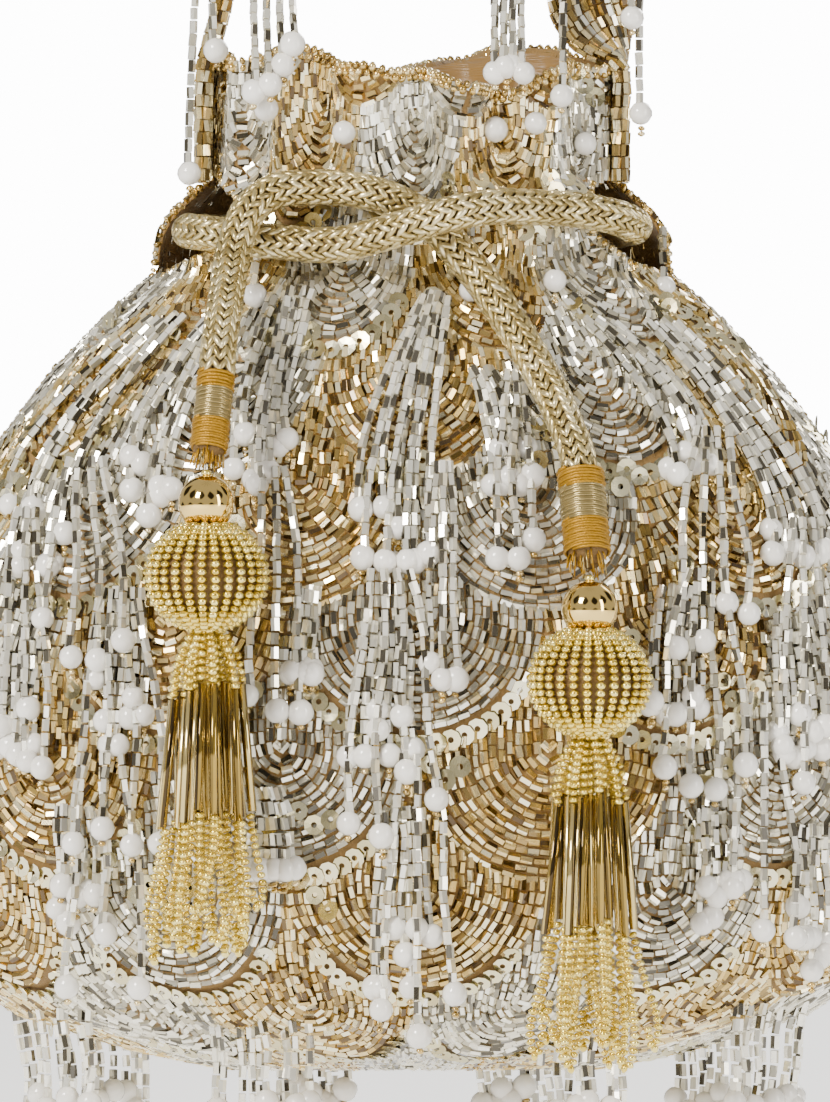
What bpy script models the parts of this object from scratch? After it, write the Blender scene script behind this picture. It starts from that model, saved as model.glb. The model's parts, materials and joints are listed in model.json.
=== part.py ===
"""Beaded potli bag: two beaded panels, a satin lining, a drawstring with a tassel cord, a band handle and bead fringes.

Metres, +Z up, the front faces -Y. The bag hangs, and the origin is the middle of the flat underside of the
handle's top, where a peg or a hand carries it. Heights are measured up from the bag's bottom seam.
"""

import math

import bmesh
import bpy
from mathutils import Vector

# Driving dimensions
HANG_HEIGHT = 0.300  # from the bottom seam up to the handle's underside
SEAM_GAP = 0.0003  # between the edges of two panels that are sewn together
PANEL_THICK = 0.0022  # cloth with its beadwork
LINING_THICK = 0.0006
CORD_RADIUS = 0.0036
CORD_SIDES = 3  # bevel resolution of the round cords
BAND_WIDTH = 0.0170
BAND_THICK = 0.0035
PEG_FLAT = 0.0060  # half the flat length at the handle's top
TASSEL_DEPTH = 0.064  # how far in front of the seam plane the tassels hang
FRINGE_LIFT = 0.0009  # clear space between a fringe and the panel behind it
FRINGE_THICK = 0.0020
FRINGE_STEP = 0.011  # height between the sections of a fringe

# The outer shape, from the rim down: height, half width, half depth
BAG_PROFILE = (
    (0.2000, 0.0374, 0.0225),
    (0.1880, 0.0382, 0.0215),
    (0.1770, 0.0394, 0.0205),
    (0.1700, 0.0480, 0.0210),
    (0.1665, 0.0502, 0.0211),
    (0.1625, 0.0512, 0.0212),
    (0.1575, 0.0515, 0.0230),
    (0.1490, 0.0610, 0.0285),
    (0.1370, 0.0725, 0.0345),
    (0.1210, 0.0845, 0.0415),
    (0.1000, 0.0950, 0.0475),
    (0.0780, 0.1015, 0.0498),
    (0.0560, 0.1025, 0.0495),
    (0.0350, 0.0995, 0.0460),
    (0.0200, 0.0925, 0.0390),
    (0.0110, 0.0790, 0.0300),
    (0.0040, 0.0560, 0.0170),
    (0.0000, 0.0370, SEAM_GAP / 2),
)
# The lining, which leaves room for the drawstring behind the back panel's casing
LINING_PROFILE = (
    (0.1990, 0.0340, 0.0190),
    (0.1880, 0.0345, 0.0175),
    (0.1780, 0.0345, 0.0105),
    (0.1690, 0.0340, 0.0092),
    (0.1600, 0.0355, 0.0095),
    (0.1500, 0.0540, 0.0200),
    (0.1370, 0.0670, 0.0295),
    (0.1210, 0.0795, 0.0365),
    (0.1000, 0.0905, 0.0430),
    (0.0780, 0.0970, 0.0453),
    (0.0560, 0.0980, 0.0450),
    (0.0350, 0.0945, 0.0410),
    (0.0200, 0.0860, 0.0325),
    (0.0110, 0.0640, 0.0170),
    (0.0065, 0.0360, SEAM_GAP / 2),
)
SLIT_LOW, SLIT_HIGH = 0.1560, 0.1785  # side openings in the front panel, which let the drawstring out
SLIT_TURN = math.radians(44)  # how far round the front each opening reaches

# Front fringes: top place (x, height), bottom place, top width, bottom width
FRONT_FRINGES = {
    "neck": (
        ((-0.0480, 0.1490), (-0.0740, 0.0960), 0.006, 0.013),
        ((-0.0380, 0.1480), (-0.0510, 0.1060), 0.005, 0.008),
        ((-0.0230, 0.1540), (-0.0290, 0.1120), 0.009, 0.011),
        ((0.0040, 0.1530), (-0.0040, 0.0970), 0.006, 0.015),
        ((0.0140, 0.1380), (0.0190, 0.1120), 0.005, 0.008),
        ((0.0370, 0.1480), (0.0540, 0.1140), 0.006, 0.008),
        ((0.0485, 0.1480), (0.0750, 0.0980), 0.006, 0.013),
    ),
    "middle": (
        ((-0.0750, 0.0880), (-0.0780, 0.0580), 0.006, 0.009),
        ((-0.0560, 0.0950), (-0.0570, 0.0610), 0.008, 0.011),
        ((-0.0200, 0.0950), (-0.0210, 0.0760), 0.004, 0.005),
        ((-0.0050, 0.0890), (-0.0060, 0.0590), 0.009, 0.013),
        ((0.0510, 0.0950), (0.0510, 0.0670), 0.008, 0.012),
        ((0.0740, 0.0900), (0.0760, 0.0580), 0.006, 0.010),
    ),
    "low": (
        ((-0.0650, 0.0520), (-0.0650, 0.0250), 0.008, 0.011),
        ((-0.0280, 0.0560), (-0.0270, 0.0390), 0.007, 0.009),
        ((-0.0020, 0.0520), (-0.0020, 0.0140), 0.009, 0.012),
        ((0.0590, 0.0540), (0.0600, 0.0260), 0.008, 0.010),
        ((0.0780, 0.0480), (0.0790, 0.0160), 0.006, 0.008),
    ),
    "hem": (
        ((-0.0700, 0.0110), (-0.0700, -0.0160), 0.014, 0.014),
        ((-0.0300, 0.0090), (-0.0300, -0.0160), 0.020, 0.020),
        ((0.0340, 0.0090), (0.0340, -0.0160), 0.018, 0.018),
        ((0.0700, 0.0120), (0.0700, -0.0160), 0.016, 0.016),
    ),
}
# Back fringes: how many, top height, bottom height, half spread at the top and at the bottom, widths
BACK_FRINGES = {
    "neck": (6, 0.150, 0.104, 0.040, 0.066, 0.006, 0.013),
    "middle": (4, 0.095, 0.062, 0.062, 0.064, 0.008, 0.012),
    "low": (4, 0.053, 0.020, 0.060, 0.060, 0.008, 0.012),
    "hem": (4, 0.010, -0.016, 0.060, 0.060, 0.016, 0.016),
}

# Routes of the cords, from end to end: x, y, height
DRAWSTRING_FRONT = (
    (-0.0416, 0.0008, 0.1665),
    (-0.0426, -0.0035, 0.1663),
    (-0.0443, -0.0112, 0.1662),
    (-0.0408, -0.0184, 0.1656),
    (-0.0340, -0.0220, 0.1646),
    (-0.0260, -0.0252, 0.1636),
    (-0.0150, -0.0282, 0.1630),
    (-0.0040, -0.0334, 0.1655),
    (0.0060, -0.0352, 0.1685),
    (0.0160, -0.0318, 0.1704),
    (0.0260, -0.0258, 0.1704),
    (0.0345, -0.0222, 0.1698),
    (0.0408, -0.0186, 0.1686),
    (0.0443, -0.0114, 0.1672),
    (0.0426, -0.0035, 0.1670),
    (0.0416, 0.0008, 0.1667),
)
TASSEL_CORD = (
    (-0.0379, -0.0549, 0.1378),
    (-0.0376, -0.0526, 0.1426),
    (-0.0370, -0.0485, 0.1474),
    (-0.0362, -0.0418, 0.1536),
    (-0.0352, -0.0342, 0.1610),
    (-0.0325, -0.0300, 0.1690),
    (-0.0270, -0.0266, 0.1736),
    (-0.0190, -0.0252, 0.1744),
    (-0.0110, -0.0254, 0.1739),
    (-0.0030, -0.0254, 0.1715),
    (0.0040, -0.0256, 0.1672),
    (0.0090, -0.0272, 0.1618),
    (0.0140, -0.0304, 0.1555),
    (0.0190, -0.0347, 0.1480),
    (0.0235, -0.0392, 0.1405),
    (0.0272, -0.0441, 0.1338),
    (0.0300, -0.0492, 0.1272),
    (0.0318, -0.0526, 0.1226),
    (0.0326, -0.0542, 0.1190),
)
CASING_HEIGHT = 0.1665
CASING_HALF_WIDTH, CASING_HALF_DEPTH = 0.0420, 0.0143  # the drawstring's line inside the casing

# The handle's line: x, height, turn of the band about its line in degrees
HANDLE_LINE = (
    (-0.0416, 0.1775, 0),
    (-0.0416, 0.1880, 0),
    (-0.0412, 0.1990, 0),
    (-0.0392, 0.2070, 0),
    (-0.0372, 0.2160, 0),
    (-0.0360, 0.2300, 0),
    (-0.0352, 0.2480, 0),
    (-0.0325, 0.2660, 0),
    (-0.0270, 0.2820, 0),
    (-0.0180, 0.2950, 0),
    (-PEG_FLAT, 0.3000 + BAND_THICK / 2, 0),
    (PEG_FLAT, 0.3000 + BAND_THICK / 2, 0),
    (0.0180, 0.2950, 8),
    (0.0270, 0.2820, 22),
    (0.0325, 0.2660, 40),
    (0.0350, 0.2480, 58),
    (0.0355, 0.2300, 70),
    (0.0352, 0.2150, 72),
    (0.0366, 0.2090, 60),
    (0.0396, 0.2030, 28),
    (0.0414, 0.1990, 0),
    (0.0416, 0.1880, 0),
    (0.0416, 0.1775, 0),
)

# Tassels: (x, top height of the gold ball, whipping's top place, whipping's radius)
TASSELS = {
    "left": (-0.0398, 0.1173, (-0.0380, -0.0552, 0.1370), 0.0037),
    "right": (0.0344, 0.0969, (0.0328, -0.0546, 0.1180), 0.0046),
}
GOLD_BALL_RADIUS = 0.0055
BEADED_BALL_RADIUS, BEADED_BALL_HALF_HEIGHT, DIMPLE = 0.0120, 0.0110, 0.0035

# Handle fringes: top place (x, y, height), bottom place, width
HANDLE_FRINGES = {
    "left": ((-0.0280, -0.0130, 0.2180), (-0.0270, -0.0262, 0.1890), 0.010),
    "right": ((0.0190, -0.0130, 0.2250), (0.0190, -0.0262, 0.1880), 0.007),
}

COLOURS = {
    "gold_beadwork": (0.62, 0.42, 0.16, 0.35, 0.6),
    "satin": (0.50, 0.30, 0.11, 0.45, 0.0),
    "metallic_cord": (0.78, 0.66, 0.40, 0.35, 0.6),
    "silk_thread": (0.72, 0.42, 0.08, 0.50, 0.0),
    "polished_gold": (0.80, 0.62, 0.22, 0.08, 1.0),
    "gold_seed_beads": (0.78, 0.55, 0.12, 0.20, 0.7),
    "clear_beads": (0.82, 0.80, 0.74, 0.15, 0.3),
}


def up(height):
    """The world Z of a height above the bottom seam."""
    return height - HANG_HEIGHT


def material(name):
    """The finish of that name, made the first time it is asked for."""
    found = bpy.data.materials.get(name)
    if found:
        return found
    red, green, blue, roughness, metallic = COLOURS[name]
    made = bpy.data.materials.new(name)
    made.use_nodes = True
    shader = made.node_tree.nodes["Principled BSDF"]
    shader.inputs["Base Color"].default_value = (red, green, blue, 1)
    shader.inputs["Roughness"].default_value = roughness
    shader.inputs["Metallic"].default_value = metallic
    return made


def add(name, mesh, finish, origin=(0, 0, 0)):
    """Puts a bmesh in the scene as one named object with its origin at that place."""
    origin = Vector(origin)
    bmesh.ops.recalc_face_normals(mesh, faces=mesh.faces)
    bmesh.ops.translate(mesh, verts=mesh.verts, vec=-origin)
    data = bpy.data.meshes.new(name)
    mesh.to_mesh(data)
    mesh.free()
    data.materials.append(material(finish))
    made = bpy.data.objects.new(name, data)
    made.location = origin
    bpy.context.scene.collection.objects.link(made)
    return made


def smooth_line(points, per_span):
    """Points on a Catmull-Rom curve through the given ones, per_span of them for each span."""
    points = [Vector(p) for p in points]
    padded = [2 * points[0] - points[1], *points, 2 * points[-1] - points[-2]]
    line = []
    for i in range(1, len(padded) - 2):
        a, b, c, d = padded[i - 1 : i + 3]
        for k in range(per_span):
            t = k / per_span
            line.append(
                0.5 * (2 * b + (c - a) * t + (2 * a - 5 * b + 4 * c - d) * t**2 + (3 * b - a - 3 * c + d) * t**3)
            )
    return [*line, points[-1]]


def outline_at(height):
    """The bag's half width and half depth at a height, from its profile."""
    low = min(BAG_PROFILE[:-1], key=lambda row: abs(row[0] - height) if row[0] <= height else math.inf)
    if height <= BAG_PROFILE[-1][0]:
        return BAG_PROFILE[-1][1:]
    if height < BAG_PROFILE[-2][0]:
        low = BAG_PROFILE[-1]
    high = BAG_PROFILE[max(0, BAG_PROFILE.index(low) - 1)]
    share = (height - low[0]) / max(high[0] - low[0], 1e-9)
    return tuple(low[k] + share * (high[k] - low[k]) for k in (1, 2))


def panel_grid(profile, columns, side, slit):
    """Rows of points over one panel, from its rim to its bottom seam; side is -1 for the front."""
    rows = []
    for height, half_width, half_depth in profile:
        edge, widest = SEAM_GAP / 2, math.pi / 2
        if slit and SLIT_LOW < height < SLIT_HIGH:
            widest -= SLIT_TURN * math.sin(math.pi * (height - SLIT_LOW) / (SLIT_HIGH - SLIT_LOW)) ** 0.6
        row = []
        for k in range(columns):
            turn = widest * (2 * k / (columns - 1) - 1)
            depth = edge + (half_depth - edge) * math.cos(turn)
            row.append(Vector((half_width * math.sin(turn), side * depth, up(height))))
        rows.append(row)
    return rows


def inner_grid(outer, thick, side):
    """The same rows moved in by the panel's thickness, and kept on their own side of the seam."""
    rows, last, end = [], len(outer) - 1, len(outer[0]) - 1
    for i, row in enumerate(outer):
        moved = []
        for k, point in enumerate(row):
            across = outer[i][min(k + 1, end)] - outer[i][max(k - 1, 0)]
            down = outer[min(i + 1, last)][k] - outer[max(i - 1, 0)][k]
            inward = across.cross(down).normalized() * side * -1
            place = point + inward * thick
            place.y = side * max(side * place.y, min(abs(point.y), SEAM_GAP / 2))
            moved.append(place)
        rows.append(moved)
    for place, point in zip(rows[0], outer[0]):
        place.z = point.z
    return rows


def shell(outer, inner):
    """A closed bmesh between two grids of points that match."""
    mesh = bmesh.new()
    grids = [[[mesh.verts.new(p) for p in row] for row in grid] for grid in (outer, inner)]
    last, end = len(outer) - 1, len(outer[0]) - 1
    for grid in grids:
        for i in range(last):
            for k in range(end):
                mesh.faces.new((grid[i][k], grid[i][k + 1], grid[i + 1][k + 1], grid[i + 1][k]))
    out, back = grids
    for k in range(end):
        for i in (0, last):
            mesh.faces.new((out[i][k], out[i][k + 1], back[i][k + 1], back[i][k]))
    for i in range(last):
        for k in (0, end):
            mesh.faces.new((out[i][k], out[i + 1][k], back[i + 1][k], back[i][k]))
    return mesh


def panel(name, profile, columns, side, thick, finish, slit):
    """One cloth panel of the bag, as a closed shell."""
    outer = panel_grid(profile, columns, side, slit)
    add(name, shell(outer, inner_grid(outer, thick, side)), finish)


def loft(sections):
    """A closed bmesh through sections that hold the same number of points."""
    mesh = bmesh.new()
    rings = [[mesh.verts.new(p) for p in section] for section in sections]
    count = len(rings[0])
    for above, below in zip(rings, rings[1:]):
        for k in range(count):
            mesh.faces.new((above[k], above[(k + 1) % count], below[(k + 1) % count], below[k]))
    mesh.faces.new(rings[0])
    mesh.faces.new(rings[-1])
    return mesh


def turned(profile, sides, x, y):
    """A closed bmesh turned about the vertical line at x, y from (radius, world z) pairs."""
    sections = []
    for radius, z in profile:
        angles = (2 * math.pi * k / sides for k in range(sides))
        sections.append([Vector((x + radius * math.cos(a), y + radius * math.sin(a), z)) for a in angles])
    return loft(sections)


def fringe(name, top, bottom, top_width, bottom_width, side):
    """A bunch of bead strands that lies on a panel, and hangs straight where the panel falls away."""
    count = max(3, math.ceil((top[1] - bottom[1]) / FRINGE_STEP) + 1)
    sections, depths = [], [0.0] * 3
    for i in range(count):
        share = i / (count - 1)
        height = top[1] + share * (bottom[1] - top[1])
        middle = top[0] + share * (bottom[0] - top[0])
        width = top_width + share * (bottom_width - top_width)
        half_width, half_depth = outline_at(height)
        near, far = [], []
        for k in range(3):
            x = middle + (k - 1) * width / 2
            surface = half_depth * math.sqrt(max(0.0, 1 - (x / half_width) ** 2))
            slope = Vector((x / half_width**2, surface / half_depth**2 if half_depth > 0.001 else 1.0))
            slope = slope.normalized() if surface > depths[k] else Vector((0, 1))
            depths[k] = max(depths[k], surface)
            for line, lift in ((near, FRINGE_LIFT), (far, FRINGE_LIFT + FRINGE_THICK)):
                line.append(Vector((x + slope.x * lift, side * (depths[k] + slope.y * lift), up(height))))
        sections.append(near + far[::-1])
    add(name, loft(sections), "clear_beads")


def cord(name, points, finish):
    """A round cord along world points, as a curve with filled caps."""
    data = bpy.data.curves.new(name, "CURVE")
    data.dimensions = "3D"
    data.bevel_depth = CORD_RADIUS
    data.bevel_resolution = CORD_SIDES
    data.use_fill_caps = True
    spline = data.splines.new("POLY")
    spline.points.add(len(points) - 1)
    for target, point in zip(spline.points, points):
        target.co = (*point, 1)
    data.materials.append(material(finish))
    made = bpy.data.objects.new(name, data)
    bpy.context.scene.collection.objects.link(made)


def free_cord(name, route):
    """A cord that lies on the bag's neck, through the points of its route."""
    line = smooth_line([(x, y, up(height)) for x, y, height in route], 2)
    cord(name, line, "metallic_cord")


def casing_cord():
    """The drawstring's run round the back, between the panel and the lining, from slit to slit."""
    start, steps = math.radians(19), 22
    points = []
    for k in range(steps + 1):
        turn = start + (math.pi - 2 * start) * k / steps
        x, y = -CASING_HALF_WIDTH * math.cos(turn), CASING_HALF_DEPTH * math.sin(turn)
        points.append(Vector((x, y, up(CASING_HEIGHT))))
    cord("drawstring_casing_run", points, "metallic_cord")


def handle():
    """The beaded band, swept along its arch with its half turn on the right side."""
    line = [Vector((x, up(height), turn)) for x, height, turn in HANDLE_LINE]
    sections = []
    for i, (x, z, turn) in enumerate(line):
        ahead = line[min(i + 1, len(line) - 1)] - line[max(i - 1, 0)]
        along = Vector((ahead.x, 0, ahead.y)).normalized()
        if abs(abs(x) - PEG_FLAT) < 1e-6:
            along = Vector((1, 0, 0))
        outward = Vector((-along.z, 0, along.x))
        turn = math.radians(turn)
        width_way = Vector((0, 1, 0)) * math.cos(turn) + outward * math.sin(turn)
        thick_way = width_way.cross(along)
        centre = Vector((x, 0, z))
        w, t = width_way * BAND_WIDTH / 2, thick_way * BAND_THICK / 2
        sections.append([centre + w + t, centre + w - t, centre - w - t, centre - w + t])
    add("handle_band", loft(sections), "gold_beadwork")


def handle_fringe(name, top, bottom, width):
    """A bunch of bead strands that hangs from the handle and lies on the ruffle."""
    steps, half = 4, Vector((width / 2, 0, 0))
    sections = []
    for i in range(steps):
        share = i / (steps - 1)
        place = Vector(top).lerp(Vector(bottom), share)
        place.z = up(place.z)
        deep = Vector((0, FRINGE_THICK / 2, 0))
        sections.append([place - half - deep, place + half - deep, place + half + deep, place - half + deep])
    add(name, loft(sections), "clear_beads")


def whipping(name, top, bottom, radius):
    """The thread-bound end of the tassel cord: a short rod that narrows to a frayed tuft."""
    top, bottom = Vector(top), Vector(bottom)
    top.z, bottom.z = up(top.z), up(bottom.z)
    along = (bottom - top).normalized()
    side = along.cross(Vector((1, 0, 0))).normalized()
    across = along.cross(side)
    sections, sides = [], 12
    for share, size in ((0, 1), (0.45, 0.96), (0.82, 1.0), (0.92, 0.88), (1, 0.6)):
        centre = top.lerp(bottom, share)
        ring = (2 * math.pi * k / sides for k in range(sides))
        sections.append([centre + (side * math.cos(a) + across * math.sin(a)) * radius * size for a in ring])
    add(name, loft(sections), "silk_thread")


def beaded_ball_profile(centre):
    """Radius and z down the outside of the seed-bead ball, with a dimple at each pole."""
    flat, steps = 0.0022, 9
    profile = [(flat, centre + BEADED_BALL_HALF_HEIGHT - DIMPLE - 0.0002)]
    for k in range(steps):
        turn = math.radians(26 + (180 - 52) * k / (steps - 1))
        profile.append((BEADED_BALL_RADIUS * math.sin(turn), centre + BEADED_BALL_HALF_HEIGHT * math.cos(turn)))
    profile.append((flat, centre - BEADED_BALL_HALF_HEIGHT + DIMPLE))
    return profile


def tassel(side, x, pivot, whip_top, whip_radius):
    """One tassel: whipping, gold ball, beaded ball and bead skirt, which share one vertical line."""
    y = -TASSEL_DEPTH
    whipping(f"whipping_{side}", whip_top, (x, y + 0.0015, pivot + 0.0012), whip_radius)
    empty = bpy.data.objects.new(f"{side}_tassel_pivot", None)
    empty.location = (x, y, up(pivot))
    bpy.context.scene.collection.objects.link(empty)

    ball = up(pivot) - GOLD_BALL_RADIUS
    steps = 9
    turns = [math.radians(8 + 164 * k / (steps - 1)) for k in range(steps)]
    profile = [(GOLD_BALL_RADIUS * math.sin(t), ball + GOLD_BALL_RADIUS * math.cos(t)) for t in turns]
    pieces = [add(f"gold_ball_{side}", turned(profile, 16, x, y), "polished_gold", (x, y, up(pivot)))]

    centre = ball - 0.0140
    body = turned(beaded_ball_profile(centre), 18, x, y)
    pieces.append(add(f"beaded_ball_{side}", body, "gold_seed_beads", (x, y, centre)))

    neck = centre - BEADED_BALL_HALF_HEIGHT + DIMPLE - 0.0004
    skirt = (
        (0.0020, 0.0), (0.0030, 0.0045), (0.0060, 0.0085), (0.0072, 0.0150), (0.0080, 0.0280),
        (0.0090, 0.0430), (0.0112, 0.0560), (0.0100, 0.0680),
    )
    profile = [(radius, neck - drop) for radius, drop in skirt]
    pieces.append(add(f"tassel_skirt_{side}", turned(profile, 16, x, y), "gold_seed_beads", (x, y, centre)))
    bpy.context.view_layer.update()
    for piece in pieces:
        piece.parent = empty
        piece.matrix_parent_inverse = empty.matrix_world.inverted()


def main():
    for old in list(bpy.data.objects):
        bpy.data.objects.remove(old, do_unlink=True)
    panel("front_panel", BAG_PROFILE, 19, -1, PANEL_THICK, "gold_beadwork", slit=True)
    panel("back_panel", BAG_PROFILE, 19, 1, PANEL_THICK, "gold_beadwork", slit=False)
    panel("lining_front", LINING_PROFILE, 13, -1, LINING_THICK, "satin", slit=False)
    panel("lining_back", LINING_PROFILE, 13, 1, LINING_THICK, "satin", slit=False)
    free_cord("drawstring_front_run", DRAWSTRING_FRONT)
    casing_cord()
    free_cord("tassel_cord", TASSEL_CORD)
    for side, values in TASSELS.items():
        tassel(side, *values)
    handle()
    for side, (top, bottom, width) in HANDLE_FRINGES.items():
        handle_fringe(f"handle_fringe_{side}", top, bottom, width)
    for tier, bunches in FRONT_FRINGES.items():
        for i, (top, bottom, top_width, bottom_width) in enumerate(bunches, 1):
            fringe(f"front_{tier}_fringe_{i}", top, bottom, top_width, bottom_width, -1)
    for tier, (count, top, bottom, top_spread, bottom_spread, top_width, bottom_width) in BACK_FRINGES.items():
        for i in range(count):
            place = 2 * i / (count - 1) - 1
            ends = (place * top_spread, top), (place * bottom_spread, bottom)
            fringe(f"back_{tier}_fringe_{i + 1}", *ends, top_width, bottom_width, 1)


main()
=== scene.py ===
# %% [markdown]
# # A beaded potli bag
# This lesson dresses the plain solids of a small drawstring evening bag. The bag is two panels of golden
# cloth, covered with tube beads in fish-scale arcs, flat sequins and hanging strands that end in pearls. A
# knitted metallic cord with two tassels closes it, and it hangs by a beaded band.
# The frame comes first: every place below is measured from it, so nothing has to be fitted afterwards.

# %% Load the frame and keep its box
import json
import math
import random

import bmesh
import bpy
import numpy as np
from mathutils import Matrix, Vector
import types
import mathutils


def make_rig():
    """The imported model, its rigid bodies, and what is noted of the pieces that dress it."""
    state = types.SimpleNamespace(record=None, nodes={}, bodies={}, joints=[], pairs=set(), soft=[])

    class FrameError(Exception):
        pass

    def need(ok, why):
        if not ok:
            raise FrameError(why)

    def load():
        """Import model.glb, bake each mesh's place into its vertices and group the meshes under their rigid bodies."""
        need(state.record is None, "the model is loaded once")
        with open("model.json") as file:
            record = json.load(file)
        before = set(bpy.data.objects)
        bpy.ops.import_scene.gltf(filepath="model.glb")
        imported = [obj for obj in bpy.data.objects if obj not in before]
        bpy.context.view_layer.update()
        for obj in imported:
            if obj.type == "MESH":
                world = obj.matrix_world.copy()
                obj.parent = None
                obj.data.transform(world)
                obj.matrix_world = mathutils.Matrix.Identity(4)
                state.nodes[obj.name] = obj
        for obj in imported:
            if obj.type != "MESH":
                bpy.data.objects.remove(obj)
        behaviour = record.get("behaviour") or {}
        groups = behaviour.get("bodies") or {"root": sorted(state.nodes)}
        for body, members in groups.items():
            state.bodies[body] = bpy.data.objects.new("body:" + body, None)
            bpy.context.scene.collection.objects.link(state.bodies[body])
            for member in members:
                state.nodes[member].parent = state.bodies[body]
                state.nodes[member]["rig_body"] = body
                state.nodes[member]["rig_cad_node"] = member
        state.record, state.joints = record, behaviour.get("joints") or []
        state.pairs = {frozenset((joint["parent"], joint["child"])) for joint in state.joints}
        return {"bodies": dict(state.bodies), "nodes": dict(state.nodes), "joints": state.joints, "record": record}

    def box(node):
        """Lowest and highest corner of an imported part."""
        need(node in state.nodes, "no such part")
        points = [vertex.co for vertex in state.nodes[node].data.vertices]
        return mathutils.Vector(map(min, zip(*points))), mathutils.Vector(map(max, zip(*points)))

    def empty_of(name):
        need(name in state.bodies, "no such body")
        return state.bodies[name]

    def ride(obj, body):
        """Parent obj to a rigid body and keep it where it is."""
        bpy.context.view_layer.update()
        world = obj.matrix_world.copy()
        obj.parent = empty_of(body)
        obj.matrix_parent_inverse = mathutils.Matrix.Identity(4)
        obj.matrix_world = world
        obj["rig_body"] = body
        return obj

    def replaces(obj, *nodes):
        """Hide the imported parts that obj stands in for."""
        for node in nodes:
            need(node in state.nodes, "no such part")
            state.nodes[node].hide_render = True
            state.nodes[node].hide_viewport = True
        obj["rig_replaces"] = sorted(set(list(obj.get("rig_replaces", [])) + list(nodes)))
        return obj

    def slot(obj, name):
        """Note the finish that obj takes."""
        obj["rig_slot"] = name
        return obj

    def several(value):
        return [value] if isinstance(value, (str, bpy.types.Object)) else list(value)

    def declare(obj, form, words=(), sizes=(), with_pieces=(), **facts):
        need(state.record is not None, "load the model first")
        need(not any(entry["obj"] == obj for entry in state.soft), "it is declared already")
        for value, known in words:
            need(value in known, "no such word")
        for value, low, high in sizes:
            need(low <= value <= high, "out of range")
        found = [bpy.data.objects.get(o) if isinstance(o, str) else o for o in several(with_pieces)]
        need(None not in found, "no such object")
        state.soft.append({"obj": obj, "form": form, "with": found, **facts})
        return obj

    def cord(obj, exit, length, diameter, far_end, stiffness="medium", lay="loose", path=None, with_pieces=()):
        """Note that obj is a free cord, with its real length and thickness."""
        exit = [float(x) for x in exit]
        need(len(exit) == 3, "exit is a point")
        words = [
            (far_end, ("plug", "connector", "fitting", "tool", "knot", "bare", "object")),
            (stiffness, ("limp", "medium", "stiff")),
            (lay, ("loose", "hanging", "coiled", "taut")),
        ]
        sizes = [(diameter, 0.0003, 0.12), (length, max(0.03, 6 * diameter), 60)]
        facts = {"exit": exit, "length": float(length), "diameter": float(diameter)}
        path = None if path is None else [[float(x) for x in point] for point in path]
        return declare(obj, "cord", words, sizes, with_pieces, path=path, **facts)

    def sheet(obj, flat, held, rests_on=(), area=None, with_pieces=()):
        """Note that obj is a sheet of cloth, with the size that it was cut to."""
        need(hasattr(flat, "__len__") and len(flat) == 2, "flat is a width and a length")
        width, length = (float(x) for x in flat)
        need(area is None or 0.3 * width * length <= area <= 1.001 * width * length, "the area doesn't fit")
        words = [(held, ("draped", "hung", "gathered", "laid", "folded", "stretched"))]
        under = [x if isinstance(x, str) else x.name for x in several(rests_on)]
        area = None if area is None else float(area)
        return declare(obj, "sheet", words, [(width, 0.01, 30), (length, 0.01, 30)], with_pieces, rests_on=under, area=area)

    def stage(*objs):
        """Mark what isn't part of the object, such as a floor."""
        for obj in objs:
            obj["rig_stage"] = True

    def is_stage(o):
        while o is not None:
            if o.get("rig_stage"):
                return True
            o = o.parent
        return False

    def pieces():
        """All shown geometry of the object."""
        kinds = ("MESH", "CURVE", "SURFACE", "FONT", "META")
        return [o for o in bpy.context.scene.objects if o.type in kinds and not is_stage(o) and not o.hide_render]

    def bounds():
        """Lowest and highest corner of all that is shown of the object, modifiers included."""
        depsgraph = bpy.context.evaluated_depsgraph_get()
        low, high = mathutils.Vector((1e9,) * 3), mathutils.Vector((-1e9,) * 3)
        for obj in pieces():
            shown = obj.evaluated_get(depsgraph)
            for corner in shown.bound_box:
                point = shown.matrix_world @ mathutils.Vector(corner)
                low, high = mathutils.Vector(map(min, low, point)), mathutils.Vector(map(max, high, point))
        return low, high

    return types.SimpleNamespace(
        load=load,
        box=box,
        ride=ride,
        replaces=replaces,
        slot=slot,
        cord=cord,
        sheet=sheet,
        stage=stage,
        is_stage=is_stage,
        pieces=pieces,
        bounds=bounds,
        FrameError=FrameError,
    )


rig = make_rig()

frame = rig.load()
cad_box = [list(map(float, corner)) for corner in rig.bounds()]
MM = 0.001
panel_low, panel_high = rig.box("front_panel")
BASE_Z = float(panel_low[2])
RIM = float(panel_high[2]) - BASE_Z
HALF_WIDTH = float(panel_high[0])
print("base", round(BASE_Z, 4), "rim height", round(RIM, 4), "half width", round(HALF_WIDTH, 4))

# %% [markdown]
# ## Camera and room
# The bag is seen straight from the front through a long lens, close enough that its sides and the top of its
# handle run out of the picture. A white room would make mirror-bright beads look flat, so what the beads
# reflect is a ring of light and dark strips. The camera itself sees plain white behind the bag.

# %% Camera, floor and lights
VIEW_HEIGHT, VIEW_DISTANCE = 0.2204, 2.0  # how much of the bag the picture's height takes in, from how far
LOOK_AT = Vector((0.0006, 0.0, BASE_Z + 0.1026))
FLOOR_HALF, FLOOR_DROP = 1.6, 0.012  # the floor lies this far below the longest strands
LAMP_COLOUR = (1.0, 0.965, 0.91)
LAMPS = (  # name, place seen from the aim, size, watts
    ("key_light", (-0.75, -0.95, 0.75), (0.35, 0.5), 32),
    ("fill_light", (0.95, -0.75, 0.25), (0.2, 0.9), 8),
    ("back_light", (0.6, 1.0, 0.7), (0.6, 0.6), 10))


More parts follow.
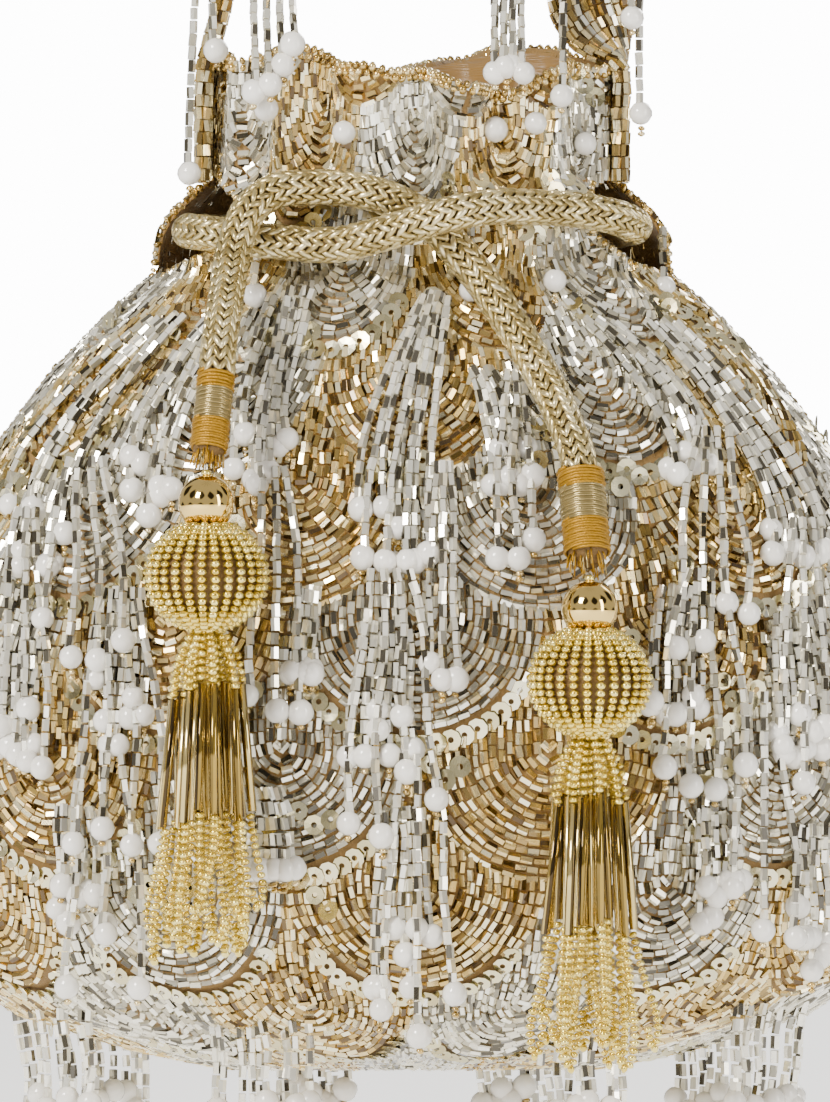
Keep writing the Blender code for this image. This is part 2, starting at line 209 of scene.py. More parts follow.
def adder(tree):
    """A function that adds a node to a tree; inputs are numbers or other nodes' sockets, by name or place."""
    def add(kind, inputs=None, **settings):
        node = tree.nodes.new(kind)
        for key, value in settings.items():
            setattr(node, key, value)
        for key, value in (inputs or {}).items():
            if isinstance(value, bpy.types.NodeSocket):
                tree.links.new(value, node.inputs[key])
            else:
                node.inputs[key].default_value = value
        return node
    return add


def make_camera():
    lens = bpy.data.cameras.new("front_camera")
    lens.sensor_fit, lens.sensor_height = "VERTICAL", 24.0
    lens.lens = lens.sensor_height * VIEW_DISTANCE / VIEW_HEIGHT
    camera = bpy.data.objects.new("front_camera", lens)
    camera.location = LOOK_AT + Vector((0, -VIEW_DISTANCE, 0))
    camera.rotation_euler = (math.radians(90), 0, 0)
    bpy.context.scene.collection.objects.link(camera)
    bpy.context.scene.camera = camera


def softbox(name, place, aim, size, power):
    light = bpy.data.lights.new(name, "AREA")
    light.color = LAMP_COLOUR
    light.shape, light.size, light.size_y, light.energy = "RECTANGLE", size[0], size[1], power
    lamp = bpy.data.objects.new(name, light)
    lamp.location = place
    lamp.rotation_euler = (Vector(aim) - Vector(place)).to_track_quat("-Z", "Y").to_euler()
    bpy.context.scene.collection.objects.link(lamp)


def make_floor():
    mesh = bpy.data.meshes.new("studio_floor")
    height, half = cad_box[0][2] - FLOOR_DROP, FLOOR_HALF
    corners = [(x * half, y * half, height) for x, y in ((-1, -1), (1, -1), (1, 1), (-1, 1))]
    mesh.from_pydata(corners, [], [(0, 1, 2, 3)])
    floor = bpy.data.objects.new("studio_floor", mesh)
    bpy.context.scene.collection.objects.link(floor)
    paint = bpy.data.materials.new("pale_floor")
    paint.use_nodes = True
    shader = paint.node_tree.nodes["Principled BSDF"]
    shader.inputs["Base Color"].default_value = (0.9, 0.9, 0.9, 1)
    shader.inputs["Roughness"].default_value = 0.7
    shader.inputs["Emission Color"].default_value = (1, 1, 1, 1)
    shader.inputs["Emission Strength"].default_value = 0.8
    mesh.materials.append(paint)
    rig.stage(floor)


make_camera()
make_floor()
for name, (x, y, rise), size, power in LAMPS:
    softbox(name, (x, y, LOOK_AT.z + rise), (0, 0, LOOK_AT.z), size, power)
print("camera", VIEW_DISTANCE, "m in front")

# %% The white room with dark strips for the beads to reflect
STRIPS_AROUND, STRIPS_UP = 8.0, 9.0
STRIP_STOPS = ((0.30, (0.05, 0.045, 0.04, 1)), (0.46, (1.0, 0.965, 0.905, 1)))  # from dark to light
ROOM_STRENGTH, BACKDROP_STRENGTH = 0.60, 14.0


def make_world():
    world = bpy.data.worlds.new("studio")
    bpy.context.scene.world = world
    world.use_nodes = True
    tree = world.node_tree
    add, link = adder(tree), tree.links.new
    place = add("ShaderNodeTexCoord")
    parts = add("ShaderNodeSeparateXYZ", {0: place.outputs["Generated"]}).outputs
    turn = add("ShaderNodeMath", {0: parts["Y"], 1: parts["X"]}, operation="ARCTAN2")
    waves = add("ShaderNodeMath", {0: turn.outputs[0], 1: STRIPS_AROUND}, operation="MULTIPLY")
    strip = add("ShaderNodeMath", {0: waves.outputs[0]}, operation="COSINE")
    rise = add("ShaderNodeMath", {0: parts["Z"], 1: STRIPS_UP}, operation="MULTIPLY")
    band = add("ShaderNodeMath", {0: rise.outputs[0]}, operation="SINE")
    both = add("ShaderNodeMath", {0: strip.outputs[0], 1: band.outputs[0]}, operation="ADD")
    shift = add("ShaderNodeMapRange", {"Value": both.outputs[0], "From Min": -2.0, "From Max": 2.0})
    ramp = add("ShaderNodeValToRGB", {"Fac": shift.outputs["Result"]})
    for stop, (position, colour) in zip(ramp.color_ramp.elements, STRIP_STOPS):
        stop.position, stop.color = position, colour
    lit = tree.nodes["Background"]
    link(ramp.outputs["Color"], lit.inputs["Color"])
    lit.inputs["Strength"].default_value = ROOM_STRENGTH
    seen = add("ShaderNodeBackground", {"Color": (1, 1, 1, 1), "Strength": BACKDROP_STRENGTH})
    rays = add("ShaderNodeLightPath")
    choose = add("ShaderNodeMixShader", {"Fac": rays.outputs["Is Camera Ray"], 1: lit.outputs[0], 2: seen.outputs[0]})
    link(choose.outputs[0], tree.nodes["World Output"].inputs["Surface"])


make_world()
print("room made")

# %% [markdown]
# ## Finishes
# A tube bead is a cut of glass pipe with a metal-bright bore. Real glass over a lining would need deep light
# paths for thousands of beads, so each bead is a facetted mirror-like body under a clear coat. Its own tone
# comes from a number stored on the bead. Each of its sides also gets a painted reflection, a light or dark
# streak that stands for the lined bore's reflections, and the facets pick up the strips of the room; both
# give the black, white and gold flicker of silver-lined glass.

# %% Helpers for materials
def new_finish(name, colour, roughness, metallic, coat=0.0, **more):
    finish = bpy.data.materials.new(name)
    finish.use_nodes = True
    shader = finish.node_tree.nodes["Principled BSDF"]
    shader.inputs["Base Color"].default_value = (*colour, 1)
    shader.inputs["Roughness"].default_value = roughness
    shader.inputs["Metallic"].default_value = metallic
    shader.inputs["Coat Weight"].default_value = coat
    shader.inputs["Coat Roughness"].default_value = 0.04
    for socket, value in more.items():
        shader.inputs[socket.replace("_", " ")].default_value = value
    return finish


def bead_finish(name, dark, middle_tone, light, roughness, metallic, coat):
    """A colour that runs from dark to light with each bead's random tone, plus a painted reflection: a light or dark
    streak on each of its sides.
    """
    finish = new_finish(name, middle_tone, roughness, metallic, coat)
    tree = finish.node_tree
    add = adder(tree)
    tone, stripe = (add("ShaderNodeAttribute", attribute_name=word).outputs["Fac"] for word in ("tone", "stripe"))
    spread = add("ShaderNodeMath", {0: tone, 1: 0.6, 2: 0.2}, operation="MULTIPLY_ADD")
    # painted reflection: each side's light or dark streak is added to the bead's random tone
    both = add("ShaderNodeMath", {0: spread.outputs[0], 1: stripe}, operation="ADD")
    ramp = add("ShaderNodeValToRGB", {"Fac": both.outputs[0]})
    stops = ramp.color_ramp.elements
    stops[0].color, stops[1].color = (*dark, 1), (*light, 1)
    stops.new(0.5).color = (*middle_tone, 1)
    tree.links.new(ramp.outputs["Color"], tree.nodes["Principled BSDF"].inputs["Base Color"])
    return finish


def add_grain(finish, scale, depth, stretch=(1, 1, 1), colour_shift=0.0):
    """Fine thread or yarn grain: noise in the object's own space, as bump and as a slight change of colour."""
    tree = finish.node_tree
    add, shader = adder(tree), tree.nodes["Principled BSDF"]
    place = add("ShaderNodeTexCoord")
    stretched = add("ShaderNodeMapping", {"Vector": place.outputs["Object"], "Scale": stretch})
    noise = add("ShaderNodeTexNoise", {"Vector": stretched.outputs[0], "Scale": scale, "Detail": 3.0})
    bump = add("ShaderNodeBump", {"Height": noise.outputs["Fac"], "Strength": 0.8, "Distance": depth})
    tree.links.new(bump.outputs[0], shader.inputs["Normal"])
    if colour_shift:
        base = shader.inputs["Base Color"].default_value[:3]
        dark, light = ((*(min(1, c * (1 + way * colour_shift)) for c in base), 1) for way in (-1, 1))
        mix = add("ShaderNodeMix", data_type="RGBA")
        mix.inputs["A"].default_value, mix.inputs["B"].default_value = dark, light
        tree.links.new(noise.outputs["Fac"], mix.inputs["Factor"])
        tree.links.new(mix.outputs["Result"], shader.inputs["Base Color"])
    return finish


# The dark and light ends of the tube finishes also colour the painted reflection streaks on the tubes' sides.
GOLD = bead_finish("gold_lined_tubes", (0.08, 0.042, 0.006), (0.66, 0.45, 0.125), (1.0, 0.91, 0.60), 0.16, 0.8, 0.8)
SILVER = bead_finish("silver_lined_tubes", (0.06, 0.05, 0.03), (0.66, 0.61, 0.46), (1.0, 0.98, 0.86), 0.14, 0.7, 0.9)
CLEAR = bead_finish("clear_strand_tubes", (0.08, 0.07, 0.05), (0.72, 0.685, 0.56), (1.0, 0.97, 0.86), 0.11, 0.6, 0.8)
SEQUIN = bead_finish("flat_gold_sequins", (0.36, 0.29, 0.12), (0.76, 0.69, 0.42), (0.97, 0.93, 0.70), 0.16, 0.95, 0.3)
SEED = bead_finish("gold_seed_beads", (0.36, 0.23, 0.01), (0.82, 0.62, 0.08), (1.0, 0.90, 0.36), 0.14, 0.75, 0.9)
TUBE = bead_finish("long_gold_tubes", (0.05, 0.028, 0.003), (0.38, 0.25, 0.04), (0.92, 0.77, 0.37), 0.16, 0.95, 0.5)
PEARL = bead_finish("white_pearls", (0.77, 0.74, 0.68), (0.84, 0.81, 0.75), (0.90, 0.88, 0.83), 0.20, 0.0, 0.8)
YARN = bead_finish("knitted_gold_yarn", (0.16, 0.105, 0.03), (0.56, 0.45, 0.20), (0.98, 0.87, 0.55), 0.28, 0.8, 0.0)
CLOTH = add_grain(new_finish("golden_cloth", (0.22, 0.122, 0.025), 0.6, 0.0, Sheen_Weight=0.2),
                  2600, 0.0003, (1, 1, 1), 0.35)
SATIN = add_grain(new_finish("brown_satin", (0.24, 0.13, 0.03), 0.36, 0.0, Sheen_Weight=0.3),
                  900, 0.0004, (0.15, 0.15, 3), 0.25)
SILK = add_grain(new_finish("orange_silk", (0.36, 0.185, 0.005), 0.40, 0.6), 3000, 0.0002, (1, 1, 1), 0.3)
MIRROR_GOLD = add_grain(new_finish("polished_gold", (0.84, 0.60, 0.20), 0.07, 1.0), 160, 0.00005)
CORE = add_grain(new_finish("dark_gold_core", (0.13, 0.07, 0.015), 0.6, 0.3), 1800, 0.0003, (1, 1, 1), 0.3)
print(len(bpy.data.materials), "finishes")

# %% [markdown]
# ## One bead of each kind
# Thousands of beads share a few small meshes, so each has only a few dozen faces. A bead lies along its own
# Z, the way the thread runs, and its X points away from the cloth. A sequin is a flat ring that faces X.

# %% Bead shapes
def keep_mesh(name, mesh):
    """A pattern object for the node trees to copy; it isn't shown."""
    bmesh.ops.recalc_face_normals(mesh, faces=mesh.faces)
    data = bpy.data.meshes.new(name)
    mesh.to_mesh(data)
    mesh.free()
    return bpy.data.objects.new(name, data)


def rod(name, rings, sides):
    """A closed turned shape about Z from (radius, z) pairs."""
    mesh = bmesh.new()
    made = []
    for radius, z in rings:
        turns = (2 * math.pi * (k + 0.5) / sides for k in range(sides))
        made.append([mesh.verts.new((radius * math.cos(t), radius * math.sin(t), z)) for t in turns])
    for low, high in zip(made, made[1:]):
        for k in range(sides):
            mesh.faces.new((low[k], low[(k + 1) % sides], high[(k + 1) % sides], high[k]))
    mesh.faces.new(made[0])
    mesh.faces.new(made[-1])
    return keep_mesh(name, mesh)


def flat_ring(name, radius, hole, thick, sides):
    mesh = bmesh.new()
    rims = []
    for size, x in ((radius, -thick), (radius, thick), (hole, thick * 0.2), (hole, -thick * 1.8)):
        turns = (2 * math.pi * k / sides for k in range(sides))
        rims.append([mesh.verts.new((x, size * math.cos(t), size * math.sin(t))) for t in turns])
    for i in range(4):
        for k in range(sides):
            n = (k + 1) % sides
            mesh.faces.new((rims[i][k], rims[i][n], rims[(i + 1) % 4][n], rims[(i + 1) % 4][k]))
    return keep_mesh(name, mesh)


def smooth(thing, ends=True):
    """Round shading; a tube's two cut ends stay flat."""
    thing.data.shade_smooth()
    if not ends:
        for face in thing.data.polygons[-2:]:
            face.use_smooth = False
    return thing


TUBE_LONG, TUBE_WIDE = 2.35 * MM, 1.55 * MM
STRAND_LONG, STRAND_WIDE = 2.5 * MM, 1.7 * MM
PEARL_SIZE = 5.0 * MM
ANY_ROLL = 6.3  # radians: a bead may be turned any way round its thread


def cut_tube(name, width, length, painted_reflection_stripes, round_sides=False):
    """A piece of glass tube; each side gets a painted reflection, a light or dark streak, one number for each side."""
    tube = rod(name, [(width / 2, -length / 2), (width / 2, length / 2)], len(painted_reflection_stripes))
    # painted reflection: the light and dark streak numbers of the sides, with a mild one on the two cut ends
    tube.data.attributes.new("stripe", "FLOAT", "FACE").data.foreach_set("value", [*painted_reflection_stripes, 0.1, 0.1])
    return smooth(tube, ends=False) if round_sides else tube


# The numbers after each size are painted reflections: light and dark streaks on the sides, standing for the lined
# bore's reflections.
tube_bead = cut_tube("tube_bead", TUBE_WIDE, TUBE_LONG * 0.94, (-0.55, 0.05, 0.45, -0.1, 0.3))
plain_tube = cut_tube("plain_tube", TUBE_WIDE, TUBE_LONG * 0.94, (-0.4, 0.1, 0.45, 0.0))
strand_bead = cut_tube("strand_bead", STRAND_WIDE, STRAND_LONG * 0.96, (-0.6, 0.2, 0.5, 0.1, 0.5))
seed_bead = smooth(rod("seed_bead", [(0.45 * MM, -0.64 * MM), (0.98 * MM, -0.26 * MM),
                                     (0.98 * MM, 0.26 * MM), (0.45 * MM, 0.64 * MM)], 6))
long_tube = cut_tube("long_tube", 1.8 * MM, 25 * MM, (-0.6, 0.1, 0.45, 0.0, 0.5, -0.2, 0.1), round_sides=True)
sequin = flat_ring("sequin", 2.0 * MM, 0.60 * MM, 0.06 * MM, 9)
pearl = smooth(rod("pearl", [(PEARL_SIZE / 2 * math.sin(math.radians(t)), -PEARL_SIZE / 2 * math.cos(math.radians(t)))
                             for t in (10, 38, 64, 90, 116, 142, 170)], 10))
stitch = smooth(rod("yarn_stitch", [(0.22 * MM, -1.9 * MM), (0.70 * MM, -0.7 * MM),
                                    (0.70 * MM, 0.7 * MM), (0.22 * MM, 1.9 * MM)], 5))
print("bead patterns ready")

# %% [markdown]
# ## The stringing tree
# Beads on a thread, rows sewn on cloth, sequins, knit stitches and pearls are all the same job: place copies
# along a line at an even pitch, turned to the line and to the cloth. One Geometry Nodes tree does it. It reads
# lines made of plain edges, each point with an `away` arrow off the cloth, and gives each copy a tone.

# %% Build the stringing tree
def stringing_tree():
    tree = bpy.data.node_groups.new("stringing", "GeometryNodeTree")
    face = tree.interface
    face.new_socket("Geometry", in_out="INPUT", socket_type="NodeSocketGeometry")
    for name, kind in (("Pitch", "Float"), ("Bead", "Object"), ("Finish", "Material"), ("Lift", "Float"),
                       ("Tilt", "Float"), ("Lean", "Float"), ("Loose", "Float"), ("Roll", "Float"),
                       ("Vary", "Float"), ("Seed", "Int"), ("On Points", "Bool"), ("Size", "Float")):
        face.new_socket(name, in_out="INPUT", socket_type="NodeSocket" + kind)
    face.new_socket("Geometry", in_out="OUTPUT", socket_type="NodeSocketGeometry")
    add = adder(tree)
    given = add("NodeGroupInput").outputs

    def named(name):
        return add("GeometryNodeInputNamedAttribute", {"Name": name}, data_type="FLOAT_VECTOR").outputs["Attribute"]

    def maths(kind, a, b):
        return add("ShaderNodeMath", {0: a, 1: b}, operation=kind).outputs[0]

    def chance(low, high, offset):
        """A random number from low to high for each bead."""
        seed = maths("ADD", given["Seed"], offset)
        pick = add("FunctionNodeRandomValue", {"Min": low, "Max": high, "Seed": seed}, data_type="FLOAT")
        return pick.outputs["Value"]

    # Even spots along each line, each with its direction, or else the lone points themselves
    line = add("GeometryNodeMeshToCurve", {"Mesh": given["Geometry"]})
    even = add("GeometryNodeResampleCurve", {"Curve": line.outputs[0], "Length": given["Pitch"]}, mode="LENGTH")
    tangent = add("GeometryNodeInputTangent")
    kept = add("GeometryNodeStoreNamedAttribute", data_type="FLOAT_VECTOR", domain="POINT", inputs={
        "Geometry": even.outputs[0], "Name": "along", "Value": tangent.outputs[0]})
    spots = add("GeometryNodeCurveToPoints", {"Curve": kept.outputs[0]}, mode="EVALUATED")
    lone = add("GeometryNodeMeshToPoints", {"Mesh": given["Geometry"]})
    choose = add("GeometryNodeSwitch", input_type="GEOMETRY", inputs={
        "Switch": given["On Points"], "False": spots.outputs["Points"], "True": lone.outputs[0]})
    rise = add("ShaderNodeVectorMath", {0: named("away"), "Scale": given["Lift"]}, operation="SCALE")
    lifted = add("GeometryNodeSetPosition", {"Geometry": choose.outputs[0], "Offset": rise.outputs[0]})

    # Each bead's turn: along the line and off the cloth, then a little loose
    facing = add("FunctionNodeAxesToRotation", primary_axis="Z", secondary_axis="X", inputs={
        "Primary Axis": named("along"), "Secondary Axis": named("away")})
    loose = given["Loose"]
    shake = [chance(maths("MULTIPLY", loose, -1.0), loose, k) for k in (11, 12)]
    turns = add("ShaderNodeCombineXYZ", {
        "X": maths("ADD", given["Tilt"], shake[0]), "Y": maths("ADD", given["Lean"], shake[1]),
        "Z": chance(0.0, given["Roll"], 13)})
    as_turn = add("FunctionNodeEulerToRotation", {0: turns.outputs[0]})
    turned = add("FunctionNodeRotateRotation", {0: facing.outputs[0], 1: as_turn.outputs[0]}, rotation_space="LOCAL")

    # A tone for each bead, then the copies
    toned = add("GeometryNodeStoreNamedAttribute", data_type="FLOAT", domain="POINT", inputs={
        "Geometry": lifted.outputs[0], "Name": "tone", "Value": chance(0.0, 1.0, 14)})
    bead = add("GeometryNodeObjectInfo", {"Object": given["Bead"]})
    spread = chance(maths("SUBTRACT", 1.0, given["Vary"]), maths("ADD", 1.0, given["Vary"]), 15)
    copies = add("GeometryNodeInstanceOnPoints", {
        "Points": toned.outputs[0], "Instance": bead.outputs["Geometry"], "Rotation": turned.outputs[0],
        "Scale": maths("MULTIPLY", spread, given["Size"])})
    real = add("GeometryNodeRealizeInstances", {0: copies.outputs[0]})
    paint = add("GeometryNodeSetMaterial", {"Geometry": real.outputs[0], "Material": given["Finish"]})
    add("NodeGroupOutput", {0: paint.outputs[0]})
    return tree


STRINGING = stringing_tree()
SOCKETS = {s.name: s.identifier for s in STRINGING.interface.items_tree if s.in_out == "INPUT"}
print("stringing tree has", len(STRINGING.nodes), "nodes")

# %% Strings of beads as plain meshes
TRIANGLES = {}


def show(name, data):
    piece = bpy.data.objects.new(name, data)
    bpy.context.scene.collection.objects.link(piece)
    return piece


def note(piece):
    data = piece.data
    data.calc_loop_triangles()
    TRIANGLES[piece.name] = len(data.loop_triangles)
    return piece


def string(name, lines, bead, finish, pitch=0.0024, lift=0.0, tilt=0.0, lean=0.0, loose=0.06, roll=0.0,
           vary=0.05, seed=1, size=1.0, on_points=False):
    """One piece of beads along lines; a line is a list of (place, away), with a direction too for lone beads."""
    points, edges, aways, alongs = [], [], [], []
    for line in lines:
        start = len(points)
        points += [tuple(spot[0]) for spot in line]
        aways += [c for spot in line for c in spot[1]]
        alongs += [c for spot in line for c in (spot[2] if len(spot) > 2 else (0, 0, 1))]
        edges += [(start + i, start + i + 1) for i in range(len(line) - 1)]
    data = bpy.data.meshes.new(name)
    data.from_pydata(points, [] if on_points else edges, [])
    data.attributes.new("away", "FLOAT_VECTOR", "POINT").data.foreach_set("vector", aways)
    if on_points:
        data.attributes.new("along", "FLOAT_VECTOR", "POINT").data.foreach_set("vector", alongs)
    carrier = show(name + "_lines", data)
    work = carrier.modifiers.new("stringing", "NODES")
    work.node_group = STRINGING
    values = {"Pitch": pitch, "Bead": bead, "Finish": finish, "Lift": lift, "Tilt": tilt, "Lean": lean,
              "Loose": loose, "Roll": roll, "Vary": vary, "Seed": seed, "On Points": on_points, "Size": size}
    for key, value in values.items():
        work[SOCKETS[key]] = value
    graph = bpy.context.evaluated_depsgraph_get()
    made = bpy.data.meshes.new_from_object(carrier.evaluated_get(graph), preserve_all_data_layers=True,
                                           depsgraph=graph)
    made.name = name
    bpy.data.objects.remove(carrier, do_unlink=True)
    if not made.materials:
        made.materials.append(finish)
    return note(show(name, made))


def ride(piece, slot, body="bag"):
    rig.ride(piece, body)
    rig.slot(piece, slot)
    return piece


def merged(name, pieces):
    """Several meshes as one piece, each with its own finishes and tones."""
    for piece in pieces:
        TRIANGLES.pop(piece.name, None)
    if len(pieces) > 1:
        with bpy.context.temp_override(active_object=pieces[0], object=pieces[0], selected_objects=pieces,
                                       selected_editable_objects=pieces):
            bpy.ops.object.join()
    pieces[0].name = pieces[0].data.name = name
    return note(pieces[0])


print("stringing helpers ready")

# %% [markdown]
# ## The bag's shape
# Each panel is a smooth round shell that is gathered at the neck. One function gives the place of any point of
# the cloth, from its turn round the bag and its height, so cloth, bead rows and strands all agree. The gathers
# are waves that are deep at the neck and die out over the belly.

# %% The cloth as a function
SHAPE = np.array([  # height, half width, half depth, from the rim down
    (0.2000, 0.0391, 0.0225), (0.1880, 0.0396, 0.0215), (0.1770, 0.0400, 0.0205), (0.1700, 0.0480, 0.0210),
    (0.1665, 0.0502, 0.0211), (0.1625, 0.0512, 0.0212), (0.1575, 0.0515, 0.0230), (0.1490, 0.0610, 0.0285),
    (0.1370, 0.0725, 0.0345), (0.1210, 0.0845, 0.0415), (0.1000, 0.0950, 0.0475), (0.0780, 0.1015, 0.0498),
    (0.0560, 0.1025, 0.0495), (0.0350, 0.0995, 0.0460), (0.0200, 0.0925, 0.0390), (0.0110, 0.0790, 0.0300),
    (0.0040, 0.0560, 0.0170), (0.0000, 0.0370, 0.0004)]) * (RIM / 0.2)
CLOTH_INSET = 1.3 * MM  # the cloth lies this far inside the beads' outer side
SLIT_LOW, SLIT_HIGH, SLIT_TURN = 0.156, 0.1785, math.radians(44)
FOLDS = 6.3
NECK, CORD_PINCH, RUFFLE_LIP = 0.176, 0.1675, 0.190  # heights: deepest gathers, the cord's pinch, the rim's flare
NECK_FOLD, RUFFLE_FOLD = 2.6, 2.0  # depth of the gathers at the neck, and what the ruffle adds, in mm


def outline(height):
    """Half width and half depth at a height."""
    return tuple(float(np.interp(height, SHAPE[::-1, 0], SHAPE[::-1, k])) for k in (1, 2))


def gather(turn, height):
    """How far a fold moves the cloth outwards; turn runs from -1 to 1 across a panel."""
    deep = math.exp(-((height - NECK) / 0.030) ** 2) * NECK_FOLD * MM
    if height > NECK:
        deep = (NECK_FOLD + RUFFLE_FOLD * (height - NECK) / 0.024) * MM
    pinch = 1 - 0.75 * math.exp(-((height - CORD_PINCH) / 0.006) ** 2)
    wave = math.cos(math.pi * (FOLDS * turn + 0.75) + 0.9 * math.sin(3.1 * turn + 0.6))
    edge = max(0.0, 1 - turn ** 6)
    fold = 3.4 * MM * math.exp(-((turn - 0.10) / 0.055) ** 2 - ((height - 0.180) / 0.026) ** 2)
    return deep * pinch * edge * (0.75 * wave + 0.25 * math.cos(math.pi * 9.7 * turn + 1.1) - 0.35) - fold


def rise_of_rim(turn, height, side):
    """The ruffle's edge isn't level: the front dips to the right, where the back stands up behind it."""
    share = max(0.0, (height - 0.178) / 0.022)
    if side > 0:
        rise = 4.2 * math.exp(-((turn - 0.40) / 0.34) ** 2) - 1.5 * math.exp(-((turn + 0.4) / 0.4) ** 2)
    else:
        rise = 1.8 * math.exp(-((turn + 0.55) / 0.24) ** 2) - 5.6 * math.exp(-((turn - 0.26) / 0.30) ** 2)
        rise += 1.0 * math.sin(13 * turn + 0.5) + 0.5 * math.sin(31 * turn)
    return share * rise * MM * (1 - turn ** 8)


def cloth_place(turn, height, side, inset=CLOTH_INSET):
    """A point of the cloth; side is -1 on the front."""
    height = min(max(height, 0.0), RIM)
    half_width, half_depth = outline(height)
    angle = math.pi / 2 * turn
    out = gather(turn, height) - inset
    lip = 0.0
    if height > RUFFLE_LIP:
        lip = (height - RUFFLE_LIP) * 0.22 * (1 - turn * turn)
    x = (half_width + out * 0.6) * math.sin(angle)
    y = side * ((half_depth + out + lip) * math.cos(angle) + 0.0002)
    return Vector((x, side * max(side * y, 0.0002), BASE_Z + height + rise_of_rim(turn, height, side)))


def cloth_away(turn, height, side):
    """The arrow that points off the cloth."""
    step = 0.004
    across = cloth_place(min(turn + step, 1), height, side) - cloth_place(max(turn - step, -1), height, side)
    down = cloth_place(turn, height - 0.0012, side) - cloth_place(turn, height + 0.0012, side)
    arrow = across.cross(down) * side
    return arrow.normalized() if arrow.length > 1e-12 else Vector((0, side, 0))


def slit_edge(height):
    """The turn at which the front panel ends: 1 at the seam, less at the side openings."""
    if not SLIT_LOW < height < SLIT_HIGH:
        return 1.0
    share = math.sin(math.pi * (height - SLIT_LOW) / (SLIT_HIGH - SLIT_LOW)) ** 0.6
    return 1 - SLIT_TURN * share / (math.pi / 2)


# The distance along the middle of a panel, from the rim down to the seam, against the height
heights = np.linspace(RIM, 0.0, 400)
middle_line = np.array([(outline(h)[1], h) for h in heights])
RUN = np.concatenate([[0], np.cumsum(np.linalg.norm(np.diff(middle_line, axis=0), axis=1))])
PANEL_LENGTH = float(RUN[-1])


def height_at(run):
    return float(np.interp(run, RUN, heights))


print("panel length", round(PANEL_LENGTH * 1000), "mm")

# %% Cloth panels and the satin lining
def cloth_shell(name, place, columns, rows, side, thick, finish):
    """A closed thin shell over a panel; place(turn, share) gives its outer points."""
    grid = [[place(2 * k / columns - 1, i / rows) for k in range(columns + 1)] for i in range(rows + 1)]
    mesh = bmesh.new()
    faces = []
    outer = [[mesh.verts.new(p) for p in row] for row in grid]
    for i in range(rows):
        for k in range(columns):
            faces.append(mesh.faces.new((outer[i][k], outer[i][k + 1], outer[i + 1][k + 1], outer[i + 1][k])))
    if side > 0:
        bmesh.ops.reverse_faces(mesh, faces=faces)
    data = bpy.data.meshes.new(name)
    mesh.to_mesh(data)
    mesh.free()
    data.materials.append(finish)
    data.shade_smooth()
    piece = show(name, data)
    wall = piece.modifiers.new("cloth_thickness", "SOLIDIFY")
    wall.thickness, wall.offset = thick, -1.0
    graph = bpy.context.evaluated_depsgraph_get()
    solid = bpy.data.meshes.new_from_object(piece.evaluated_get(graph))
    solid.name = name
    bpy.data.objects.remove(piece, do_unlink=True)
    return note(show(name, solid))


def outer_place(side):
    def place(turn, share):
        height = RIM - RIM * share ** 1.15
        limit = slit_edge(height) if side < 0 else 1.0
        return cloth_place(turn * limit, height, side)
    return place


for word, side, mesh_size in (("front", -1, (110, 80)), ("back", 1, (84, 60))):
    made = cloth_shell(f"{word}_cloth", outer_place(side), *mesh_size, side, 0.5 * MM, CLOTH)
    ride(made, "beaded_cloth")
    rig.replaces(made, f"{word}_panel")
    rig.sheet(made, flat=(0.270, 0.255), area=0.0520, held="gathered")

LINING_RIM, LINING_FOOT = float(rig.box("lining_front")[1][2]) - BASE_Z, 0.0065
LINING_SHAPE = np.array([  # height, half width, half depth, from the rim down
    (0.1990, 0.0357, 0.0190), (0.1880, 0.0360, 0.0175), (0.1780, 0.0352, 0.0105), (0.1690, 0.0340, 0.0092),
    (0.1600, 0.0355, 0.0095), (0.1500, 0.0540, 0.0200), (0.1370, 0.0670, 0.0295), (0.1210, 0.0795, 0.0365),
    (0.1000, 0.0905, 0.0430), (0.0780, 0.0970, 0.0453), (0.0560, 0.0980, 0.0450), (0.0350, 0.0945, 0.0410),
    (0.0200, 0.0860, 0.0325), (0.0110, 0.0640, 0.0170), (0.0065, 0.0360, 0.0004)])


def lining_place(side):
    def place(turn, share):
        height = LINING_RIM - (LINING_RIM - LINING_FOOT) * share
        half_width, half_depth = (np.interp(height, LINING_SHAPE[::-1, 0], LINING_SHAPE[::-1, k]) for k in (1, 2))
        angle = math.pi / 2 * turn
        fold = 1.1 * MM * math.cos(math.pi * 7 * turn + 0.4) * math.exp(-((height - 0.175) / 0.03) ** 2)
        deep = (half_depth + fold) * math.cos(angle)
        cover = cloth_place(turn, height, side, CLOTH_INSET + 2.0 * MM)
        if height > 0.14:
            deep = min(deep, abs(cover.y))  # the satin goes in with the cloth's folds
        return Vector((half_width * math.sin(angle), side * (deep + 0.0002), cover.z))
    return place


for word, side in (("front", -1), ("back", 1)):
    made = cloth_shell(f"satin_{word}", lining_place(side), 48, 40, side, 0.4 * MM, SATIN)
    ride(made, "satin_lining")
    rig.replaces(made, f"lining_{word}")
    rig.sheet(made, flat=(0.250, 0.235), area=0.0440, held="hung")
print("cloth and lining", TRIANGLES)

# %% [markdown]
# ## Fish-scale beading
# The cloth is covered with overlapping scales, each filled with arcs of tube beads that open upwards. The
# scales are laid out flat, in millimetres of cloth, then each arc is carried onto the panel by the cloth
# function. Arcs end where the scales of the row above cover them. Gold scales and silver scales take turns,
# and the lowest arc of many scales is a row of overlapping flat sequins.

# %% Lay out the scales
SCALE_RADIUS, ARC_PITCH = 26.6 * MM, 1.80 * MM
BEAD_PITCH, BEAD_LIFT = 2.42 * MM, 0.72 * MM
UNIT = HALF_WIDTH * math.pi / 2  # cloth length from the middle to the side at the widest place
ROWS = int(PANEL_LENGTH / SCALE_RADIUS) + 3


